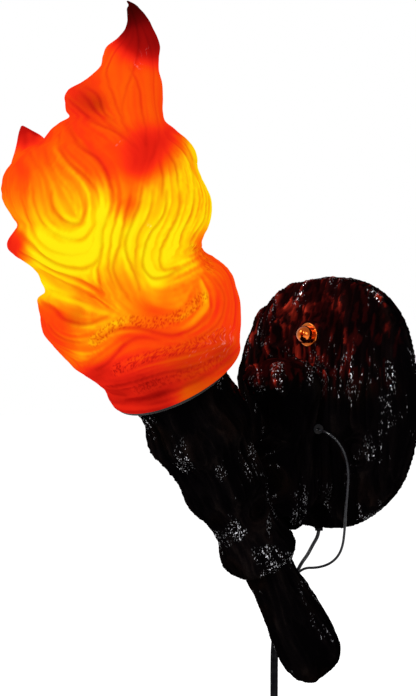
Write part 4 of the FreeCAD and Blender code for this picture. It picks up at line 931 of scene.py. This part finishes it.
def carve(node, voxel, leans, keep, depth, seed, lumps, whorls, finish):
    """Dresses a node with bark where keep says its surface is on show."""
    mesh = remeshed(node, voxel * COARSE)
    points = points_of(mesh)
    normals = normals_of(mesh)
    shown = keep(points, normals)
    height = bark_height(in_torch(points) if leans else points, points, seed, whorls)
    even = np.clip((height - 0.35) / 0.5, 0, 1)
    mm = points * 1000
    move = depth * (even - CREST_LEVEL) + lumps * noise(mm / LUMP_SIZE, seed + 40)
    move = move + 0.3 * noise(mm / PIT_SIZE, seed + 41)
    set_points(mesh, bulged(node, points + normals * (move * shown)[:, None] / 1000))
    tag(mesh, "crest", np.where(shown > 0.3, even, 0.4))
    # The flame's light painted on as a glow, stronger on the crests.
    tag(mesh, "painted_flame_glow", painted_glow_from_flame(points_of(mesh), normals_of(mesh)) * (0.15 + 0.85 * even ** 1.5))
    piece = show(node + "_bark", mesh, finish)
    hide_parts(node)


# Where plain surfaces stay, in metres as in the part. PAD_Z and TORCH_SEAT_ALONG are ranges without bark; any
# other pair says where bark starts and where it is full.
PLATE_HALF_WIDE = 0.098
PLATE_HALF_HIGH = 0.107
PLATE_BACK = (0.0008, 0.004)
NUT_Z = 0.058
NUT_R = (0.0135, 0.018)
PAD_HALF_WIDE = 0.026
PAD_Z = (-0.086, 0.036)
PAD_Y = -0.0325
ARM_FOOT = (0.0345, 0.038)
TOP_SCREW_Z = 0.015
TOP_SCREW_R = (0.0075, 0.011)
MIDDLE_SCREW_Z = -0.061
MIDDLE_SCREW_R = (0.008, 0.012)
WIRE_EXIT = (0.0225, -0.0425, -0.02)
WIRE_EXIT_R = (0.004, 0.008)
ARM_SEAT = (0.0195, 0.024)
TORCH_SEAT = 0.0185
TORCH_SEAT_ALONG = (-0.162, -0.078)
TORCH_CORE_R = (0.021, 0.025)
TORCH_RIM = -0.0012
HANDLE_COLLAR = (0.183, 0.187)


def keep_plate(points, normals):
    x, y, z = points.T
    edge = np.abs(x / PLATE_HALF_WIDE) ** 2.4 + np.abs(z / PLATE_HALF_HIGH) ** 2.4
    out = smooth_step(0.05, 0.4, -normals[:, 1])
    rim = smooth_step(0.86, 0.97, edge) * smooth_step(-0.5, 0.0, -normals[:, 1])
    nut = smooth_step(*NUT_R, np.hypot(x, z - NUT_Z))
    pad = 1 - ((np.abs(x) < PAD_HALF_WIDE) & (z > PAD_Z[0]) & (z < PAD_Z[1]) & (y < PAD_Y))
    return np.maximum(out, rim) * nut * pad * smooth_step(*PLATE_BACK, -y)


def keep_arm(points, normals):
    x, y, z = points.T
    joint = smooth_step(*ARM_FOOT, -y)
    screw = smooth_step(*TOP_SCREW_R, np.hypot(x, z - TOP_SCREW_Z) + 10 * (y > -0.06))
    wire = smooth_step(*WIRE_EXIT_R, np.linalg.norm(points - WIRE_EXIT, axis=1))
    torch = in_torch(points)
    seat = smooth_step(*ARM_SEAT, torch[:, 1] + 10 * (torch[:, 2] < -0.17))
    middle = smooth_step(*MIDDLE_SCREW_R, np.hypot(x, z - MIDDLE_SCREW_Z))
    return joint * screw * wire * seat * np.maximum(middle, y > -0.02)


def keep_torch(points, normals):
    x, side, along = in_torch(points).T
    radius = np.hypot(x, side)
    outward = normals[:, 0] * x + leaned(normals[:, 1], normals[:, 2])[0] * side
    outward = outward / np.maximum(radius, 1e-6)
    seat = 1 - ((side > TORCH_SEAT) & (along > TORCH_SEAT_ALONG[0]) & (along < TORCH_SEAT_ALONG[1]))
    return smooth_step(0.0, 0.3, outward) * smooth_step(*TORCH_CORE_R, radius) * seat * (along < TORCH_RIM)


def keep_handle(points, normals):
    return smooth_step(*HANDLE_COLLAR, -in_torch(points)[:, 2])


# Node, voxel, whether its fibres lean with the torch, where bark shows, depth, seed, lumps, and the whorls'
# places and sizes in millimetres.
BARKS = (
    ("back_plate", 0.0014, False, keep_plate, 3.2, 100, 1.2, (((-45, -30, 60), 16), ((52, -30, -40), 14))),
    ("arm", 0.0013, False, keep_arm, 3.0, 200, 1.2, (((-20, -88, 12), 26), ((24, -100, -62), 18))),
    ("torch_body", 0.0013, True, keep_torch, 2.8, 300, 1.2, (((-26, -165, -40), 16), ((28, -120, -80), 14))),
    ("handle", 0.0012, True, keep_handle, 2.2, 400, 0.6, ()))


def make_bark():
    upright = bark_finish("bark_upright", (0, 0, 0))
    leaning = bark_finish("bark_leaning", (-TORCH_LEAN, 0, 0))
    for row in BARKS:
        carve(*row, leaning if row[2] else upright)


# ---- cords -----------------------------------------------------------------------
# Routes in millimetres.
FRONT_WIRE_R = 0.0011
REAR_WIRE_R = 0.0016
CORD_R = 0.0033
CORD_THICK = 0.0036
CORD_SIDES = 28
WEB_SHARE = 0.55
SLEEVE_DOWN = np.array((-0.4202, 0.0600, -0.9055))
FRONT_ENTRY = (-22.05, -28.10, -150.11)
REAR_ENTRY = (-21.95, -24.10, -149.89)
FRONT_INNER = ((-9, -11, -34.5), (-9, -11, -20), (14, -34, -20))
FRONT_ROUTE = (
    (14, -34, -20), (26.74, -46.74, -20), (36.5, -44, -23.5), (43, -39, -31.5), (47, -36, -42),
    (48.5, -34.5, -55), (46.5, -33.5, -70), (42, -30.5, -86), (37, -26, -103), (31.5, -22, -117.5),
    (24, -19.8, -127.5), (14, -20, -134.5), (2.5, -22.5, -138), (-8.5, -26.5, -138.4), FRONT_ENTRY,
    tuple(np.array(FRONT_ENTRY) + SLEEVE_DOWN * 9))
REAR_ROUTE = (
    (-9, -11, -85.5), (-9, -11, -92), (-8, -7, -99), (-8.1, -7.1, -112), (-11.4, -11.6, -121),
    (-13.2, -15.8, -129), (-15.8, -21.2, -136), REAR_ENTRY, tuple(np.array(REAR_ENTRY) + SLEEVE_DOWN * 7))
SLEEVE_END = np.array((-22, -26.1, -150)) + SLEEVE_DOWN * 26
HANG_ROUTE = (tuple(SLEEVE_END - SLEEVE_DOWN * 6), tuple(SLEEVE_END + SLEEVE_DOWN * 16), (-46, -21.5, -206),
              (-48, -20, -228), (-48, -20, -300))
TAIL_ROUTE = ((-48, -12.5, -312), (-48, -12.5, -330), (-48, -12.5, -359.5))
COIL_PITCH = 7.5
COIL_IN = 2.75
COIL_OUT = 3.25
COIL_OUTER_R = 48.8125
COIL_INNER_R = COIL_OUTER_R - COIL_IN * COIL_PITCH
COIL_CENTRE = np.array((0.8125, -20.0, -310.1125))
COIL_TURNS = 6
COIL_POINTS = 20


def coil_points():
    """The coil's own points: in on one layer, over in half a turn and out on the other."""
    points = []
    pull = 1 / math.cos(math.pi / COIL_POINTS) ** 0.75
    for index in range(1, COIL_TURNS * COIL_POINTS):
        turn = index / COIL_POINTS
        angle = math.pi + 2 * math.pi * turn
        if turn < COIL_IN:
            radius, depth = COIL_OUTER_R - COIL_PITCH * turn, 0.0
        elif turn > COIL_OUT:
            radius, depth = COIL_INNER_R + COIL_PITCH * (turn - COIL_OUT), COIL_PITCH
        else:
            share = (turn - COIL_IN) / (COIL_OUT - COIL_IN)
            radius = COIL_INNER_R - COIL_PITCH * 0.5 * share * (1 - share)
            depth = COIL_PITCH * share * share * (3 - 2 * share)
        out = np.array((math.cos(angle) * radius * pull, depth, math.sin(angle) * radius * pull))
        points.append(tuple(COIL_CENTRE + out))
    return points


def route_curve(name, points, radius=0.0):
    """A smooth line whose control points are the route's own points."""
    curve = bpy.data.curves.new(name, "CURVE")
    curve.dimensions = "3D"
    curve.resolution_u = 12
    curve.bevel_depth = radius
    curve.bevel_resolution = 5
    curve.use_fill_caps = True
    spline = curve.splines.new("NURBS")
    spline.points.add(len(points) - 1)
    for spot, point in zip(spline.points, points):
        spot.co = (*(value / 1000 for value in point), 1)
    spline.order_u = 3
    spline.use_endpoint_u = True
    return curve


def line_of(curve):
    """The points along a route's smooth line."""
    mesh = baked(add_object("line", curve))
    line = points_of(mesh)
    bpy.data.meshes.remove(mesh)
    return line


def twin_tube(name, line, width, thickness):
    """Two cores side by side joined by a narrow web, swept along a line."""
    around = once_round(CORD_SIDES)
    core = thickness / 2
    spread = width / 2 - core
    wide = np.cos(around) * width / 2
    web = (core * WEB_SHARE) ** 2 * (np.abs(wide) < spread)
    thick = np.sqrt(np.maximum(core ** 2 - (np.abs(wide) - spread) ** 2, web)) * np.sign(np.sin(around))
    tangents = np.gradient(line, axis=0)
    tangents /= np.linalg.norm(tangents, axis=1, keepdims=True)
    side = RIGHT
    rings = []
    for place, tangent in zip(line, tangents):
        side = side - tangent * (side @ tangent)
        side /= np.linalg.norm(side)
        over = np.cross(tangent, side)
        rings.append(place + wide[:, None] * side + thick[:, None] * over)
    start = list(range(len(around)))
    last = (len(rings) - 1) * len(around)
    faces = grid_faces(len(rings), len(around), flip=True) + [start, [last + k for k in reversed(start)]]
    return mesh_of(name, np.concatenate(rings), faces)


def make_cords(wire, cord_finish):
    inner = show("front_wire_inner", route_curve("front_wire_inner", FRONT_INNER, FRONT_WIRE_R), wire)
    front = show("front_wire", route_curve("front_wire", FRONT_ROUTE, FRONT_WIRE_R), wire)
    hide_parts("supply_wire_front")
    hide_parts("supply_wire_front")
    rear = show("rear_wire", route_curve("rear_wire", REAR_ROUTE, REAR_WIRE_R), wire)
    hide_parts("supply_wire_rear")
    line = line_of(route_curve("cord_line", (*HANG_ROUTE, *coil_points(), *TAIL_ROUTE)))
    cord = show("lamp_cord_visual", twin_tube("lamp_cord_visual", line, 2 * CORD_R, CORD_THICK), cord_finish)
    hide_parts("lamp_cord", "cord_coil", "plug_tail")
    tie = make_tie()


# The strap's section: share of the half width, and how far out it stands there in millimetres.
TIE_SECTION = ((-1, -0.4), (-0.9, 0.5), (-0.45, 0.38), (0, 0.5), (0.45, 0.38), (0.9, 0.5), (1, -0.4))


def make_tie():
    """A woven strap round the foot of the coil."""
    low, high = (np.array(corner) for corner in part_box("cord_tie"))
    half_x, half_y, half_z = (high - low) / 2 - (0, 0.0006, 0.0006)
    corner = min(half_y, half_z) * 0.55
    rows = []
    for angle in once_round(72):
        y = np.sign(math.cos(angle)) * (half_y - corner) + corner * math.cos(angle)
        z = np.sign(math.sin(angle)) * (half_z - corner) + corner * math.sin(angle)
        lifts = [1 + out * 0.001 / max(half_y, half_z) for _, out in TIE_SECTION]
        rows += [(x * half_x, y * lift, z * lift) for (x, _), lift in zip(TIE_SECTION, lifts)]
        rows += [(x * half_x, y * 0.93, z * 0.965) for x in (0.9, 0, -0.9)]
    around = len(TIE_SECTION) + 3
    faces = np.array(grid_faces(len(rows) // around + 1, around)) % len(rows)
    mesh = mesh_of("cord_tie_visual", np.array(rows) + (low + high) / 2, faces.tolist())
    finish = plain_finish("tie", (0.012, 0.012, 0.013), (0.03, 0.03, 0.032), 600, 0.7, stretch=(1, 4, 4))
    piece = show("cord_tie_strap", mesh, finish)
    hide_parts("cord_tie")
    return piece


def make_gasket():
    """The felt ring under the shade, with a soft hairy surface."""
    mesh = remeshed("shade_gasket", 0.0007)
    points = points_of(mesh)
    fuzz = noise(points * 1000 / 0.9, 61)
    set_points(mesh, points + normals_of(mesh) * (fuzz * 0.00012 - 0.0001)[:, None])
    finish = plain_finish("felt", (0.005, 0.0045, 0.004), (0.014, 0.012, 0.01), 900, 0.95, bump=0.5,
                          level=0.0)
    piece = show("shade_gasket_felt", mesh, finish)
    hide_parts("shade_gasket")


# ---- metal, glass and plastic ----------------------------------------------------
# Slot, dark and light colour, grain, roughness, metallic, stretch, bump and specular level.
PLAIN_SLOTS = (
    ("dark_steel", (0.006, 0.006, 0.006), (0.014, 0.013, 0.012), 60, 0.42, 0.0, EVEN, 0.15, 0.1),
    ("steel", (0.42, 0.42, 0.43), (0.62, 0.61, 0.6), 80, 0.32, 1.0, (1, 1, 4)),
    # Gold darkened and reddened: the brass of the nut with a painted reflection of the flame's glow.
    ("gold_metal", (0.34, 0.06, 0.008), (0.5, 0.12, 0.02), 120, 0.16, 1.0, EVEN, 0.05),
    ("brass", (0.62, 0.40, 0.13), (0.82, 0.58, 0.24), 90, 0.3, 1.0),
    ("green_screw", (0.02, 0.16, 0.06), (0.05, 0.3, 0.12), 120, 0.35, 0.5),
    ("phenolic", (0.004, 0.004, 0.0045), (0.009, 0.0085, 0.0085), 90, 0.3, 0.0, EVEN, 0.15, 0.0),
    ("cap_metal", (0.5, 0.5, 0.5), (0.7, 0.69, 0.67), 100, 0.28, 1.0),
    ("black_wire", (0.003, 0.003, 0.0038), (0.009, 0.009, 0.011), 300, 0.22, 0.0, EVEN, 0.1, 0.15))


def dress_nodes():
    by_slot = {row[0]: plain_finish(*row) for row in PLAIN_SLOTS}
    glass = Finish("bulb_glass")
    glass.set({"Base Color": (1.0, 0.97, 0.92, 1), "Transmission Weight": 1.0, "IOR": 1.45,
               "Roughness": glass.span(glass.grain(40, 3), 0.02, 0.06)})
    filament = Finish("filament")
    tint = filament.ramp(filament.grain(500, 2), (0.3, (1.0, 0.5, 0.12)), (0.7, (1.0, 0.68, 0.25)))
    filament.set({"Base Color": tint, "Emission Color": tint, "Emission Strength": 1.0})
    phenolic = by_slot["phenolic"]
    by_slot.update(bulb_glass=glass.material, filament=filament.material, felt=phenolic, cord_black=phenolic)
    for piece in frame["record"]["subparts"]:
        if piece["material_slot"] in by_slot:
            materials = NODES[piece["node"]].data.materials
            materials.clear()
            materials.append(phenolic if "grommet" in piece["node"] else by_slot[piece["material_slot"]])
    return by_slot["black_wire"]


# ---- light, floor and background -------------------------------------------------
LAMPS = {"key": ((-0.9, -1.7, 1.5), 0.8, 22), "fill": ((1.9, -0.9, 0.5), 0.7, 10),
         "spark_0": ((-0.2, -1.5, 0.9), 0.07, 14), "spark_1": ((1.3, -0.9, 0.6), 0.07, 14),
         "spark_2": ((0.75, -1.7, 1.1), 0.07, 14), "spark_3": ((0.35, -1.5, 0.25), 0.07, 14)}
LAMP_AIM = Vector((0, -0.1, 0))


def lamp(name, place, size, power):
    light = bpy.data.lights.new(name, "AREA")
    light.shape = "DISK"
    light.size = size
    light.energy = power
    piece = add_object(name, light)
    piece.location = place
    piece.rotation_euler = (LAMP_AIM - Vector(place)).to_track_quat("-Z", "Y").to_euler()


def background_share(tree):
    """1 for rays from the camera, off gloss and through glass, so that they see the white."""
    path = new_node(tree, "ShaderNodeLightPath", {}).outputs
    share = path["Is Camera Ray"]
    for kind in ("Is Glossy Ray", "Is Transmission Ray"):
        share = new_node(tree, "ShaderNodeMath", {0: share, 1: path[kind]}, operation="MAXIMUM").outputs[0]
    return share


def make_world():
    world = bpy.data.worlds.new("studio")
    bpy.context.scene.world = world
    world.use_nodes = True
    tree = world.node_tree
    inputs = {"Value": background_share(tree), "To Min": 0.45, "To Max": 1.0}
    spread = new_node(tree, "ShaderNodeMapRange", inputs)
    feed(tree, tree.nodes["Background"], {"Color": (1, 1, 1, 1), "Strength": spread.outputs["Result"]})


FLOOR_HALF = 9.0
FLOOR_TICKS = 25
FLOOR_DROP = 0.03


def make_floor():
    """A pale floor well under the plug, white to the camera except for a faint shadow."""
    ticks = np.linspace(-FLOOR_HALF, FLOOR_HALF, FLOOR_TICKS)
    cols = len(ticks)
    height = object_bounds()[0][2] - FLOOR_DROP
    points = [(x, y, height) for y in ticks for x in ticks]
    faces = [[start, start + 1, start + cols + 1, start + cols]
             for start in range(cols * (cols - 1)) if (start + 1) % cols]
    mesh = mesh_of("floor", points, faces, smooth=False)
    add_object("floor", mesh)
    finish = Finish("floor_paint", level=0.0)
    tint = finish.ramp(finish.grain(3, 2), (0.3, (0.78, 0.78, 0.78)), (0.7, (0.82, 0.82, 0.82)))
    finish.set({"Base Color": tint, "Roughness": 0.9, "Emission Color": (1, 1, 1, 1),
                "Emission Strength": finish.span(background_share(finish.tree), 0.0, 0.7, 0.0, 1.0)})
    mesh.materials.append(finish.material)


def main():
    bpy.context.scene.view_settings.view_transform = "Standard"
    make_camera()
    rubber = dress_nodes()
    cord_finish = plain_finish("cord_black", (0.002, 0.002, 0.0025), (0.006, 0.006, 0.0065), 240, 0.34,
                               level=0.0)
    make_cords(rubber, cord_finish)
    shade = show("flame_shade_skin", shade_mesh(), flame_finish(), "shade")
    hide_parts("flame_shade")
    make_bark()
    make_gasket()
    make_world()
    make_floor()
    for name, values in LAMPS.items():
        lamp(name, *values)


main()
